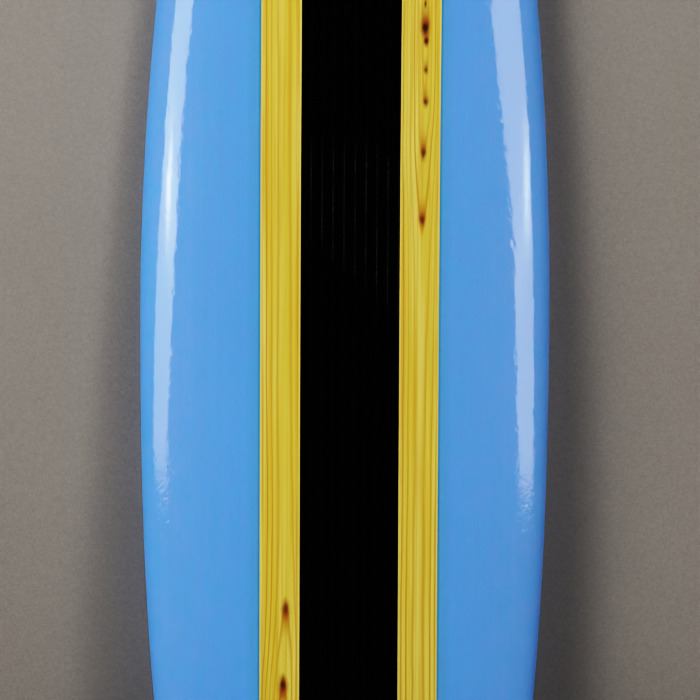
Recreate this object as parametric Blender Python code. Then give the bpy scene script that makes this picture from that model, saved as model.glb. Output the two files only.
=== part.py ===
"""Surfboard, 7 ft 6 in funboard shape, standing on its tail with the nose up.

X is the board's width, the deck faces -Y, the bottom and the fins face +Y, Z runs
from the tail to the nose. The origin is on the centreline at the height of the
tail's tip, midway in depth between the nose's deck and the centre fin's tip.
"Left" is -X and "right" is +X.

The core is five lengthwise members glued edge to edge: two foam rails, two wide
pine stringers and a foam centre. A clear glass-and-resin skin goes over it in two
halves. The tail carries a long centre fin box, two side fin boxes, a leash plug
and a vent. All dimensions are in metres.
"""

import math

import bmesh
import bpy
from mathutils import Matrix, Vector

for old in list(bpy.data.objects):
    bpy.data.objects.remove(old, do_unlink=True)

# ---------------------------------------------------------------- board dimensions
LENGTH = 2.286  # 7 ft 6 in
HALF_WIDTH = 0.2667  # 21 in wide
WIDE_Z = 1.170  # widest station, measured from the tail
NOSE_EXP = 1.815  # outline fullness ahead of the wide point
TAIL_EXP = 2.447  # outline fullness behind it
THICK = 0.068
THICK_NOSE = 0.018
THICK_TAIL = 0.020
THICK_Z = 1.190  # thickest station
THICK_EXP = 2.3  # how late the thickness falls away towards the tips
THICK_POWER = 0.9  # how steeply it falls at the tips
APEX = 0.42  # height of the rail's widest line, as a share of the thickness
DECK_EXP = 3.0  # deck crown
BOTTOM_EXP = 6.0  # flat bottom with rolled edges
ROCKER_Z = 1.050  # station where the bottom reaches furthest to +Y
ROCKER_NOSE = 0.115
ROCKER_NOSE_EXP = 2.4
ROCKER_TAIL = 0.050
ROCKER_TAIL_EXP = 2.2
TIP_ROUND = 0.020  # length over which the section closes at each tip
BOTTOM_Y = -0.011913  # the bottom's furthest line, set so that the box is centred on Y = 0

SKIN = 0.0010  # glass and resin
GAP = 0.0003  # between neighbouring pieces
CORE_END = 0.0025  # the core stops this far short of each tip, where the skins meet
CENTRE_W = 0.1270  # black foam centre
STRINGER_W = 0.0512  # pine stringers

STATIONS = 32
DECK_SEGS = 16
BOTTOM_SEGS = 12
LAP = 2  # the deck skin wraps round the rail by this many bottom columns
ARC_SEGS = 6  # in each half-round end of a fin box

# How far the cutters stand clear of the board's surface
BOTTOM_POCKET_REACH = 0.012
BOTTOM_SLOT_REACH = 0.010
DECK_POCKET_REACH = 0.008
DECK_BORE_REACH = 0.005
DRIVER_SLOT_REACH = 0.002

DRIVER_SLOT_HALF = 0.0006  # half width of a screwdriver slot

BOARD_SMOOTH = 40  # degrees: edges sharper than this stay sharp
FITTING_SMOOTH = 35
SEAL_SMOOTH = 60

# ---------------------------------------------------------------- materials
BLACK = (0.02, 0.02, 0.022)
GLASS = (0.80, 0.84, 0.84)
BLUE_FOAM = dict(colour=(0.105, 0.370, 0.770), roughness=0.5)
BLACK_FOAM = dict(colour=(0.004, 0.004, 0.004), roughness=0.5)
PINE = dict(colour=(0.700, 0.510, 0.060), roughness=0.45)
DECK_GLASS = dict(colour=GLASS, roughness=0.06, alpha=0.25)
BOTTOM_GLASS = dict(colour=GLASS, roughness=0.08, alpha=0.25)
MOULDED_BLACK = dict(colour=BLACK, roughness=0.4)
FIN_BLACK = dict(colour=BLACK, roughness=0.3)
VENT_BLACK = dict(colour=(0.03, 0.03, 0.032), roughness=0.4)
RUBBER = dict(colour=(0.01, 0.01, 0.01), roughness=0.7)
BRASS = dict(colour=(0.62, 0.45, 0.16), roughness=0.3, metallic=1.0)
PLATE_STEEL = dict(colour=(0.55, 0.55, 0.55), roughness=0.3, metallic=1.0)
SCREW_STEEL = dict(colour=(0.55, 0.55, 0.55), roughness=0.25, metallic=1.0)
BRIGHT_SCREW_STEEL = dict(colour=(0.60, 0.60, 0.60), roughness=0.25, metallic=1.0)
BAR_STEEL = dict(colour=(0.60, 0.60, 0.60), roughness=0.2, metallic=1.0)


def material(name, colour, roughness, metallic=0.0, alpha=1.0):
    mat = bpy.data.materials.new(name)
    mat.use_nodes = True
    shader = mat.node_tree.nodes["Principled BSDF"]
    shader.inputs["Base Color"].default_value = (*colour, 1.0)
    shader.inputs["Roughness"].default_value = roughness
    shader.inputs["Metallic"].default_value = metallic
    shader.inputs["Alpha"].default_value = alpha
    mat.diffuse_color = (*colour, alpha)
    mat.roughness = roughness
    mat.metallic = metallic
    return mat


# ---------------------------------------------------------------- board surface
def half_width(z, inset=0.0):
    if z >= WIDE_Z:
        reach, power = (z - WIDE_Z) / (LENGTH - WIDE_Z), NOSE_EXP
    else:
        reach, power = (WIDE_Z - z) / WIDE_Z, TAIL_EXP
    return (HALF_WIDTH - inset) * math.sqrt(1.0 - reach**power)


def thickness(z):
    if z >= THICK_Z:
        reach, tip = (z - THICK_Z) / (LENGTH - THICK_Z), THICK_NOSE
    else:
        reach, tip = (THICK_Z - z) / THICK_Z, THICK_TAIL
    return tip + (THICK - tip) * (1.0 - reach**THICK_EXP) ** THICK_POWER


def rocker(z):
    """How far the bottom's centreline curves away towards -Y."""
    if z >= ROCKER_Z:
        return ROCKER_NOSE * ((z - ROCKER_Z) / (LENGTH - ROCKER_Z)) ** ROCKER_NOSE_EXP
    return ROCKER_TAIL * ((ROCKER_Z - z) / ROCKER_Z) ** ROCKER_TAIL_EXP


def tip_cap(z):
    """Share of the section's depth left at z: 1, falling in a quarter round to 0 at a tip."""
    reach = min(z, LENGTH - z) / TIP_ROUND
    return 1.0 if reach >= 1.0 else math.sqrt(max(0.0, 1.0 - (1.0 - reach) ** 2))


def surface(share, angle, inset, end):
    """Point at a share of the length and an angle round the section.

    Angle 0 is the right rail, 90 degrees the deck's centreline, 180 the left rail,
    270 the bottom's centreline. The point is inset from the section, and the length
    is shortened by end at each tip.
    """
    full_z = share * LENGTH
    thick = thickness(full_z)
    apex_y = BOTTOM_Y - rocker(full_z) - APEX * thick
    cosine, sine = math.cos(angle), math.sin(angle)
    if sine >= 0:
        power, depth = DECK_EXP, (1.0 - APEX) * thick
    else:
        power, depth = BOTTOM_EXP, APEX * thick
    # On the centreline the fractional power would magnify the cosine's rounding error.
    if abs(cosine) < 1e-9:
        x = 0.0
    else:
        x = half_width(full_z, inset) * math.copysign(abs(cosine) ** (2.0 / power), cosine)
    y = apex_y - (depth - inset) * tip_cap(full_z) * sine
    return Vector((x, y, end + (LENGTH - 2 * end) * share))


def deck_angle(column):
    """Angle of a deck column, counted from the right rail."""
    return math.pi * column / DECK_SEGS


def bottom_angle(column):
    """Angle of a bottom column, counted from the left rail."""
    return math.pi + math.pi * column / BOTTOM_SEGS


# ---------------------------------------------------------------- fitting frames
FRAME_STEP = 0.01  # half the span over which a surface's slope is taken


def bottom_point(x, z):
    share = abs(x) / half_width(z)
    roll = APEX * thickness(z) * (1.0 - math.sqrt(1.0 - share**BOTTOM_EXP))
    return Vector((x, BOTTOM_Y - rocker(z) - roll, z))


def deck_point(z):
    return Vector((0.0, BOTTOM_Y - rocker(z) - thickness(z), z))


def frame_at(name, x_axis, y_axis, z_axis, place):
    matrix = Matrix((x_axis, y_axis, z_axis)).transposed().to_4x4()
    frame = empty(name)
    frame.rotation_mode = "QUATERNION"
    frame.location = place
    frame.rotation_quaternion = matrix.to_quaternion()
    frame.empty_display_size = 0.03
    return frame


def bottom_frame(name, x, z, toe_deg=0.0):
    """Frame on the bottom: local +Y points out of it, +Z to the nose.

    A positive toe turns the nose end towards -X.
    """
    step = FRAME_STEP
    along = (bottom_point(x, z + step) - bottom_point(x, z - step)).normalized()
    across = (bottom_point(x + step, z) - bottom_point(x - step, z)).normalized()
    out = along.cross(across).normalized()
    side = out.cross(along).normalized()
    toe = math.radians(toe_deg)
    forward = (along * math.cos(toe) - side * math.sin(toe)).normalized()
    side = out.cross(forward).normalized()
    return frame_at(name, side, out, forward, bottom_point(x, z))


def deck_frame(name, z):
    """Frame on the deck's centreline: local +Y points into the board, +Z to the nose."""
    along = (deck_point(z + FRAME_STEP) - deck_point(z - FRAME_STEP)).normalized()
    side = Vector((1.0, 0.0, 0.0))
    inward = along.cross(side).normalized()
    return frame_at(name, side, inward, along, deck_point(z))


# ---------------------------------------------------------------- objects
def link(name, data, parent):
    obj = bpy.data.objects.new(name, data)
    bpy.context.scene.collection.objects.link(obj)
    if parent:
        obj.parent = parent
    return obj


def empty(name, parent=None, location=(0, 0, 0)):
    obj = link(name, None, parent)
    obj.location = location
    return obj


def mesh_object(name, bm, parent):
    bmesh.ops.recalc_face_normals(bm, faces=bm.faces)
    mesh = bpy.data.meshes.new(name)
    bm.to_mesh(mesh)
    bm.free()
    return link(name, mesh, parent)


def piece(name, bm, look, parent=None, smooth_deg=None):
    """A visible solid, with its own material of the same name."""
    obj = mesh_object(name, bm, parent)
    obj.data.materials.append(material(name, **look))
    if smooth_deg is not None:
        obj.data.shade_smooth()
        obj.data.set_sharp_from_angle(angle=math.radians(smooth_deg))
    return obj


def cutter(name, bm, parent):
    """A hidden solid used by boolean modifiers."""
    obj = mesh_object(name, bm, parent)
    obj.hide_render = True
    obj.display_type = "WIRE"
    return obj


def combine(obj, tool, operation="DIFFERENCE"):
    mod = obj.modifiers.new(tool.name, "BOOLEAN")
    mod.operation = operation
    mod.solver = "EXACT"
    mod.object = tool


# ---------------------------------------------------------------- solid shapes
def band(bm, low, high, closed=True, flip=False):
    """Triangles between two rows of vertices."""
    count = len(low)
    for i in range(count if closed else count - 1):
        j = (i + 1) % count
        for tri in ((low[i], low[j], high[j]), (low[i], high[j], high[i])):
            bm.faces.new(tri[::-1] if flip else tri)


def loft(rings):
    """Skin a row of closed rings with the same number of points, with flat caps."""
    bm = bmesh.new()
    rows = [[bm.verts.new(point) for point in ring] for ring in rings]
    for low, high in zip(rows, rows[1:]):
        band(bm, low, high)
    bm.faces.new(rows[0][::-1])
    bm.faces.new(rows[-1])
    return bm


def ring_at(outline, y):
    return [Vector((x, y, z)) for x, z in outline]


def stadium(length, width, mid_z=0.0):
    """Outline in x and z with half-round ends, centred on mid_z."""
    radius, straight = width / 2, length / 2 - width / 2
    points = []
    for start, end_z in ((0.0, mid_z + straight), (math.pi, mid_z - straight)):
        for k in range(ARC_SEGS + 1):
            angle = start + math.pi * k / ARC_SEGS
            points.append((radius * math.cos(angle), end_z + radius * math.sin(angle)))
    return points


def prism(outline, y_low, y_high):
    return loft([ring_at(outline, y) for y in (y_low, y_high)])


def block(half_x, y_low, y_high, z_low, z_high):
    """Box centred on x = 0."""
    corners = [(-half_x, z_low), (half_x, z_low), (half_x, z_high), (-half_x, z_high)]
    return prism(corners, y_low, y_high)


def turned(profile, segs=24, matrix=None):
    """Solid of revolution about local Y from (radius, y) pairs, ends on flat caps."""
    rings = []
    for radius, y in profile:
        angles = [2 * math.pi * k / segs for k in range(segs)]
        ring = ring_at([(radius * math.cos(a), radius * math.sin(a)) for a in angles], y)
        if matrix is not None:
            ring = [matrix @ point for point in ring]
        rings.append(ring)
    return loft(rings)


def cylinder(radius, y_low, y_high, segs=24, matrix=None):
    return turned([(radius, y_low), (radius, y_high)], segs, matrix)


def crosswise(y, z):
    """Matrix that lays a turned solid along X at the given place."""
    return Matrix.Translation((0, y, z)) @ Matrix.Rotation(math.pi / 2, 4, "Z")


def board_sheet(bm, point, angles, closed=False, flip=False):
    """Sheet through point(share, angle), drawn to one vertex at the tail and the nose.

    Returns its first and last columns of vertices, from tail to nose.
    """
    shares = [0.5 * (1.0 - math.cos(math.pi * k / STATIONS)) for k in range(1, STATIONS)]
    rows = [[bm.verts.new(point(share, a)) for a in angles] for share in shares]
    tail = bm.verts.new(point(0.0, 0.0))
    nose = bm.verts.new(point(1.0, 0.0))
    for low, high in zip(rows, rows[1:]):
        band(bm, low, high, closed, flip)
    first, last = rows[0], rows[-1]
    count = len(angles)
    for i in range(count if closed else count - 1):
        j = (i + 1) % count
        for tri in ((tail, first[j], first[i]), (nose, last[i], last[j])):
            bm.faces.new(tri[::-1] if flip else tri)
    return [[tail, *(row[i] for row in rows), nose] for i in (0, -1)]


# ---------------------------------------------------------------- core members
def core_member(name, x_low, x_high, look):
    """The part of the core between two lengthwise saw cuts; None leaves the rail whole."""
    angles = [deck_angle(k) for k in range(DECK_SEGS)]
    angles += [bottom_angle(k) for k in range(BOTTOM_SEGS)]
    bm = bmesh.new()
    board_sheet(bm, lambda share, a: surface(share, a, SKIN + GAP, CORE_END), angles, True)
    for x, away in ((x_low, -1.0), (x_high, 1.0)):
        if x is None:
            continue
        result = bmesh.ops.bisect_plane(
            bm,
            geom=list(bm.verts) + list(bm.edges) + list(bm.faces),
            dist=1e-7,
            plane_co=(x, 0, 0),
            plane_no=(away, 0, 0),
            clear_outer=True,
        )
        edges = [e for e in result["geom_cut"] if isinstance(e, bmesh.types.BMEdge)]
        bmesh.ops.contextual_create(bm, geom=edges)
    return piece(name, bm, look, None, BOARD_SMOOTH)


half_gap = GAP / 2
centre_edge = CENTRE_W / 2
stringer_edge = centre_edge + STRINGER_W
foam_rail_left = core_member("foam_rail_left", None, -stringer_edge - half_gap, BLUE_FOAM)
core_member("pine_stringer_left", -stringer_edge + half_gap, -centre_edge - half_gap, PINE)
foam_centre = core_member(
    "foam_centre", -centre_edge + half_gap, centre_edge - half_gap, BLACK_FOAM
)
core_member("pine_stringer_right", centre_edge + half_gap, stringer_edge - half_gap, PINE)
foam_rail_right = core_member("foam_rail_right", stringer_edge + half_gap, None, BLUE_FOAM)


# ---------------------------------------------------------------- glass skins
def skin_point(share, angle, depth, border_angle, inset):
    point = surface(share, angle, depth, depth + 2 * inset)
    if inset:
        border = abs(surface(share, border_angle, depth, depth).x)
        point.x *= max(0.0, border - inset) / max(border, 1e-6)
        if share in (0.0, 1.0):
            point.y += 3 * inset
    return point


def skin(name, angles, look, inset=0.0):
    """A thin closed shell over a run of ring columns, from tail to nose.

    inset pulls the shell's border in, so that it meets the other shell with a gap.
    """
    bm = bmesh.new()
    outer, inner = (
        board_sheet(
            bm,
            lambda share, a: skin_point(share, a, depth, angles[0], inset),
            angles,
            flip=flip,
        )
        for depth, flip in ((0.0, False), (SKIN, True))
    )
    # Close the shell's thickness along both borders.
    for out, back, flip in zip(outer, inner, (True, False)):
        for k in range(len(out) - 1):
            quad = (out[k], out[k + 1], back[k + 1], back[k])
            bm.faces.new(quad[::-1] if flip else quad)
    return piece(name, bm, look, None, BOARD_SMOOTH)


deck_lamination = skin(
    "deck_lamination",
    [-math.pi * k / BOTTOM_SEGS for k in range(LAP, 0, -1)]
    + [deck_angle(k) for k in range(DECK_SEGS + 1)]
    + [bottom_angle(k) for k in range(1, LAP + 1)],
    DECK_GLASS,
)
bottom_lamination = skin(
    "bottom_lamination",
    [bottom_angle(k) for k in range(LAP, BOTTOM_SEGS - LAP + 1)],
    BOTTOM_GLASS,
    GAP,
)


# ---------------------------------------------------------------- fin shapes
# (share of the chord from the leading edge, share of the half thickness)
FOIL = ((0.0, 0.0), (0.07, 0.58), (0.22, 0.93), (0.42, 1.0), (0.68, 0.74), (1.0, 0.0))
FLAT_FACE = 0.30  # a flattened face's bulge, as a share of a full one
TIP_THINNING = 0.74  # share of the thickness lost from root to tip
STATION_EASE = 0.25  # crowds the sections towards the tip
BLADE_ROOT_Y = -0.003  # the blade starts inside the tongue it joins
BLADE_INSET = 0.0015  # from each end of the tongue to the blade


def fin_blade(depth, thick, steps, lead, trail, flat=0):
    """Raked blade from inside its tongue out to y = depth.

    lead is (z at the root, rake, power) of the leading edge, and trail is
    (z at the root, rake, power, bow) of the trailing edge. flat is +1 or -1 for a
    flattened face on that side of X, and 0 for a blade foiled alike on both sides.
    """
    lead_z, lead_rake, lead_power = lead
    trail_z, trail_rake, trail_power, bow = trail
    rings = []
    for k in range(steps + 1):
        share = k / steps
        share += STATION_EASE * share * (1 - share)
        y = BLADE_ROOT_Y + (depth - BLADE_ROOT_Y) * share
        front = lead_z - lead_rake * share**lead_power
        back = trail_z - trail_rake * share**trail_power + bow * math.sin(math.pi * share)
        half = thick * (1.0 - TIP_THINNING * share) / 2
        right = half * FLAT_FACE if flat > 0 else half
        left = half * FLAT_FACE if flat < 0 else half
        foil = [(right * bulge, chord) for chord, bulge in FOIL]
        foil += [(-left * bulge, chord) for chord, bulge in FOIL[-2:0:-1]]
        rings.append([Vector((x, y, front + (back - front) * chord)) for x, chord in foil])
    return loft(rings)


def box_pocket(name, frame, length, width, depth, mid_z=0.0):
    """Cutter for a round-ended pocket, a gap larger than what it holds."""
    outline = stadium(length + 2 * GAP, width + 2 * GAP, mid_z)
    return cutter(name, prism(outline, -depth - GAP, BOTTOM_POCKET_REACH), frame)


# ---------------------------------------------------------------- centre fin box
# Local y is 0 at the board's bottom and negative inside the board.
CBOX_Z = 0.270  # station of the box's middle
CBOX_L = 0.268
CBOX_W = 0.0220
CBOX_D = 0.0254
CFLANGE_L = 0.274
CFLANGE_W = 0.0254
CFLANGE_T = 0.0030
SLOT_W = 0.0096
SLOT_L = 0.250
SLOT_D = 0.0230
GROOVE_W = 0.0168  # groove in the slot's walls for pin and plate
GROOVE_TOP = 0.0090
GROOVE_BOTTOM = 0.0134
GROOVE_END = 0.004  # the groove stops this far short of each end of the slot
GATE_L = 0.0200  # wide gate where pin and plate drop in
GATE_OVERLAP = 0.002  # the gate runs this far down into the groove


def centre_fin_box(frame):
    body_pocket = box_pocket("cut_cbox_body", frame, CBOX_L, CBOX_W, CBOX_D)
    flange_pocket = box_pocket("cut_cbox_flange", frame, CFLANGE_L, CFLANGE_W, CFLANGE_T)
    combine(foam_centre, body_pocket)
    combine(foam_centre, flange_pocket)
    combine(bottom_lamination, flange_pocket)

    # Body and flange in one loft: the flange's underside is a flat step.
    body = stadium(CBOX_L, CBOX_W)
    flange = stadium(CFLANGE_L, CFLANGE_W)
    steps = ((body, -CBOX_D), (body, -CFLANGE_T), (flange, -CFLANGE_T), (flange, 0.0))
    rings = [ring_at(outline, y) for outline, y in steps]
    box = piece("centre_fin_box", loft(rings), MOULDED_BLACK, frame)

    slot = prism(stadium(SLOT_L, SLOT_W), -SLOT_D, BOTTOM_SLOT_REACH)
    groove_z = SLOT_L / 2 - GROOVE_END
    groove = block(GROOVE_W / 2, -GROOVE_BOTTOM, -GROOVE_TOP, -groove_z, groove_z)
    gate_y = -GROOVE_TOP - GATE_OVERLAP
    gate = block(GROOVE_W / 2, gate_y, BOTTOM_SLOT_REACH, -GATE_L / 2, GATE_L / 2)
    for part, shape in (("slot", slot), ("groove", groove), ("gate", gate)):
        combine(box, cutter("cut_cbox_" + part, shape, frame))


# ---------------------------------------------------------------- centre fin
CFIN_BASE = 0.150
CFIN_TAB = 0.025  # screw tab, ahead of the tongue
CFIN_TAB_BOTTOM = -0.0088
CFIN_TAB_TOP = -0.0050
CFIN_TONGUE_TOP = 0.0008
CFIN_TONGUE_CLEAR = 0.0005  # above the slot's floor
CFIN_DEPTH = 0.190
CFIN_THICK = 0.0086
CFIN_STEPS = 12
CFIN_REST = -CFIN_TAB / 2  # the fin sits mid-travel in its box
PIN_Y = -(GROOVE_TOP + GROOVE_BOTTOM) / 2
PIN_Z = -CFIN_BASE / 2 + 0.009
PIN_R = 0.0019
PIN_HOLE_R = 0.0023
PIN_HOLE_HALF = 0.02  # half length of the cutter, well past both faces
GROOVE_RIDER_HALF = 0.0080  # half the width of pin and plate across the groove
PLATE_BOTTOM = -0.0126
PLATE_TOP = -0.0094
PLATE_HALF_L = 0.006
PLATE_HOLE_R = 0.0025
SCREW_Z = CFIN_BASE / 2 + 0.0145
SCREW_HOLE_R = 0.0026
SCREW_SLOT_FLOOR = -0.0030
SCREW_SLOT_HALF_L = 0.006
# (radius, y) from the point to the head's face
CENTRE_SCREW_PROFILE = [
    (0.0016, -0.0200),
    (0.0021, -0.0190),
    (0.0021, -0.0046),
    (0.0040, -0.0046),
    (0.0040, -0.0026),
    (0.0031, -0.0016),
]


def centre_fin(carrier):
    """Tongue with its screw tab, joined to the blade and drilled for pin and screw."""
    base = CFIN_BASE / 2
    floor = -SLOT_D + CFIN_TONGUE_CLEAR
    tongue = [  # (z, y)
        (-base, floor),
        (base, floor),
        (base, CFIN_TAB_BOTTOM),
        (base + CFIN_TAB, CFIN_TAB_BOTTOM),
        (base + CFIN_TAB, CFIN_TAB_TOP),
        (base, CFIN_TAB_TOP),
        (base, CFIN_TONGUE_TOP),
        (-base, CFIN_TONGUE_TOP),
    ]
    half = SLOT_W / 2 - GAP
    rings = [[Vector((x, y, z)) for z, y in tongue] for x in (-half, half)]
    fin = piece("centre_fin", loft(rings), FIN_BLACK, carrier, FITTING_SMOOTH)
    blade = fin_blade(
        depth=CFIN_DEPTH,
        thick=CFIN_THICK,
        steps=CFIN_STEPS,
        lead=(base - BLADE_INSET, 0.176, 1.7),
        trail=(-base + BLADE_INSET, 0.046, 1.3, 0.012),
    )
    combine(fin, cutter("add_centre_blade", blade, carrier), "UNION")
    at_pin = crosswise(PIN_Y, PIN_Z)
    pin_hole = cylinder(PIN_HOLE_R, -PIN_HOLE_HALF, PIN_HOLE_HALF, 20, at_pin)
    combine(fin, cutter("cut_fin_pin_hole", pin_hole, carrier))
    at_screw = Matrix.Translation((0, 0, SCREW_Z))
    screw_hole = cylinder(SCREW_HOLE_R, -0.012, -0.001, 20, at_screw)
    combine(fin, cutter("cut_fin_screw_hole", screw_hole, carrier))


def centre_fin_pin(carrier):
    at_pin = crosswise(PIN_Y, PIN_Z)
    pin = cylinder(PIN_R, -GROOVE_RIDER_HALF, GROOVE_RIDER_HALF, 20, at_pin)
    piece("centre_fin_pin", pin, BRASS, carrier, FITTING_SMOOTH)


def centre_fin_plate(carrier):
    rear, front = SCREW_Z - PLATE_HALF_L, SCREW_Z + PLATE_HALF_L
    shape = block(GROOVE_RIDER_HALF, PLATE_BOTTOM, PLATE_TOP, rear, front)
    plate = piece("centre_fin_plate", shape, PLATE_STEEL, carrier)
    hole = cylinder(PLATE_HOLE_R, -0.02, 0.0, 20, Matrix.Translation((0, 0, SCREW_Z)))
    combine(plate, cutter("cut_plate_hole", hole, carrier))


def centre_fin_screw(carrier):
    axis = empty("centre_fin_screw_axis", carrier, (0, 0, SCREW_Z))
    shape = turned(CENTRE_SCREW_PROFILE)
    screw = piece("centre_fin_screw", shape, BRIGHT_SCREW_STEEL, axis, FITTING_SMOOTH)
    slot = block(
        DRIVER_SLOT_HALF,
        SCREW_SLOT_FLOOR,
        DRIVER_SLOT_REACH,
        -SCREW_SLOT_HALF_L,
        SCREW_SLOT_HALF_L,
    )
    combine(screw, cutter("cut_screw_slot", slot, axis))


centre_frame = bottom_frame("centre_fin_frame", 0.0, CBOX_Z)
centre_fin_box(centre_frame)
centre_carrier = empty("centre_fin_carrier", centre_frame, (0, 0, CFIN_REST))
centre_fin(centre_carrier)
centre_fin_pin(centre_carrier)
centre_fin_plate(centre_carrier)
centre_fin_screw(centre_carrier)

# ---------------------------------------------------------------- side fins
SBOX_Z = 0.360
SBOX_X = 0.166
SBOX_W = 0.0150
SBOX_D = 0.0190
SBOX_REAR = -0.062
SBOX_FRONT = 0.070
SSLOT_W = 0.0072
SSLOT_REAR = -0.056
SSLOT_FRONT = 0.050
SSLOT_D = 0.0160
SFIN_DEPTH = 0.105
SFIN_THICK = SSLOT_W - 0.0010
SFIN_STEPS = 10
SFIN_TONGUE_TOP = 0.0006
TOE_DEG = 3.0
SSCREW_Z = 0.060
SSCREW_TILT = math.radians(45)
SSCREW_HOLE_R = 0.0028
SSCREW_HOLE_D = 0.0145
SSCREW_PROFILE = [(0.0016, -0.0115), (0.0024, -0.0107), (0.0024, -0.0025)]  # (radius, y)
HEX_R = 0.00145
HEX_FLOOR = -0.0058


def side_fin_box(side_name, frame, rail):
    length = SBOX_FRONT - SBOX_REAR
    mid = (SBOX_FRONT + SBOX_REAR) / 2
    pocket = box_pocket("cut_sbox_" + side_name, frame, length, SBOX_W, SBOX_D, mid)
    combine(rail, pocket)
    combine(bottom_lamination, pocket)

    shape = prism(stadium(length, SBOX_W, mid), -SBOX_D, 0.0)
    box = piece("side_fin_box_" + side_name, shape, MOULDED_BLACK, frame, FITTING_SMOOTH)
    slot = block(SSLOT_W / 2, -SSLOT_D, BOTTOM_SLOT_REACH, SSLOT_REAR, SSLOT_FRONT)
    combine(box, cutter("cut_sslot_" + side_name, slot, frame))
    # The grub screw enters the outer face ahead of the slot and slopes back as it goes in.
    tilt = Matrix.Translation((0, 0, SSCREW_Z)) @ Matrix.Rotation(SSCREW_TILT, 4, "X")
    hole = cylinder(SSCREW_HOLE_R, -SSCREW_HOLE_D, BOTTOM_POCKET_REACH, 20, tilt)
    combine(box, cutter("cut_sscrew_" + side_name, hole, frame))


def side_fin(side_name, side, frame):
    """Tongue joined to a blade whose inboard face is flattened."""
    carrier = empty("side_fin_carrier_" + side_name, frame)
    tongue = block(
        SSLOT_W / 2 - GAP,
        -SSLOT_D + GAP,
        SFIN_TONGUE_TOP,
        SSLOT_REAR + GAP,
        SSLOT_FRONT - GAP,
    )
    fin = piece("side_fin_" + side_name, tongue, FIN_BLACK, carrier, FITTING_SMOOTH)
    blade = fin_blade(
        depth=SFIN_DEPTH,
        thick=SFIN_THICK,
        steps=SFIN_STEPS,
        lead=(SSLOT_FRONT - BLADE_INSET, 0.088, 1.6),
        trail=(SSLOT_REAR + BLADE_INSET, 0.010, 1.0, 0.006),
        flat=-side,
    )
    combine(fin, cutter("add_side_blade_" + side_name, blade, carrier), "UNION")


def side_fin_screw(side_name, frame):
    axis = empty("side_fin_screw_axis_" + side_name, frame, (0, 0, SSCREW_Z))
    axis.rotation_euler = (SSCREW_TILT, 0, 0)
    shape = turned(SSCREW_PROFILE, 20)
    screw = piece("side_fin_screw_" + side_name, shape, SCREW_STEEL, axis, FITTING_SMOOTH)
    combine(screw, cutter("cut_hex_" + side_name, cylinder(HEX_R, HEX_FLOOR, 0.0, 6), axis))


for side_name, side, rail in (("left", -1.0, foam_rail_left), ("right", 1.0, foam_rail_right)):
    side_frame = bottom_frame(
        "side_fin_frame_" + side_name, side * SBOX_X, SBOX_Z, side * TOE_DEG
    )
    side_fin_box(side_name, side_frame, rail)
    side_fin(side_name, side, side_frame)
    side_fin_screw(side_name, side_frame)


# ---------------------------------------------------------------- deck fittings
# Local y is 0 at the deck and positive inside the board.
def deck_pocket(fitting, frame, body, rim, segs):
    """Pocket for a rimmed fitting; body and rim are (radius, depth)."""
    pocket, rim_pocket = (
        cutter(
            f"cut_{fitting}_{part}",
            cylinder(radius + GAP, -DECK_POCKET_REACH, depth + GAP, segs),
            frame,
        )
        for part, (radius, depth) in (("pocket", body), ("rim", rim))
    )
    combine(foam_centre, pocket)
    combine(foam_centre, rim_pocket)
    combine(deck_lamination, rim_pocket)


# ---------------------------------------------------------------- leash plug
LEASH_Z = 0.085
LEASH_R = 0.0140
LEASH_RIM_R = 0.0160
LEASH_RIM_T = 0.0020
LEASH_D = 0.0180
LEASH_CHAMFER = 0.001
LEASH_BORE_R = 0.0110
LEASH_FLOOR = 0.003
LEASH_BAR_R = 0.0020
LEASH_BAR_HALF = 0.0125  # half length
LEASH_BAR_Y = 0.0060
LEASH_SEGS = 32


def leash_plug_cup(frame):
    profile = [
        (LEASH_RIM_R, 0.0),
        (LEASH_RIM_R, LEASH_RIM_T),
        (LEASH_R, LEASH_RIM_T),
        (LEASH_R, LEASH_D - LEASH_CHAMFER),
        (LEASH_R - LEASH_CHAMFER, LEASH_D),
    ]
    shape = turned(profile, LEASH_SEGS)
    cup = piece("leash_plug_cup", shape, MOULDED_BLACK, frame, FITTING_SMOOTH)
    bore = cylinder(LEASH_BORE_R, -DECK_BORE_REACH, LEASH_D - LEASH_FLOOR, LEASH_SEGS)
    combine(cup, cutter("cut_leash_bore", bore, frame))
    reach = LEASH_BAR_HALF + GAP
    bar_hole = cylinder(LEASH_BAR_R + GAP, -reach, reach, 20, crosswise(LEASH_BAR_Y, 0))
    combine(cup, cutter("cut_leash_bar_hole", bar_hole, frame))


def leash_plug_bar(frame):
    at_bar = crosswise(LEASH_BAR_Y, 0)
    bar = cylinder(LEASH_BAR_R, -LEASH_BAR_HALF, LEASH_BAR_HALF, 20, at_bar)
    piece("leash_plug_bar", bar, BAR_STEEL, frame, FITTING_SMOOTH)


leash_frame = deck_frame("leash_plug_frame", LEASH_Z)
deck_pocket(
    "leash", leash_frame, (LEASH_R, LEASH_D), (LEASH_RIM_R, LEASH_RIM_T), LEASH_SEGS
)
leash_plug_cup(leash_frame)
leash_plug_bar(leash_frame)

# ---------------------------------------------------------------- vent
VENT_Z = 0.455
VENT_R = 0.0070
VENT_RIM_R = 0.0100
VENT_RIM_T = 0.0030
VENT_D = 0.0160
VENT_BORE_R = 0.0045
VENT_SEAT_R = 0.0080
VENT_SEAT_D = 0.0026
VENT_SLOT_FLOOR = 0.0009
VENT_SLOT_HALF_L = 0.0048
VENT_PORT_R = 0.0014
VENT_SEGS = 24
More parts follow.
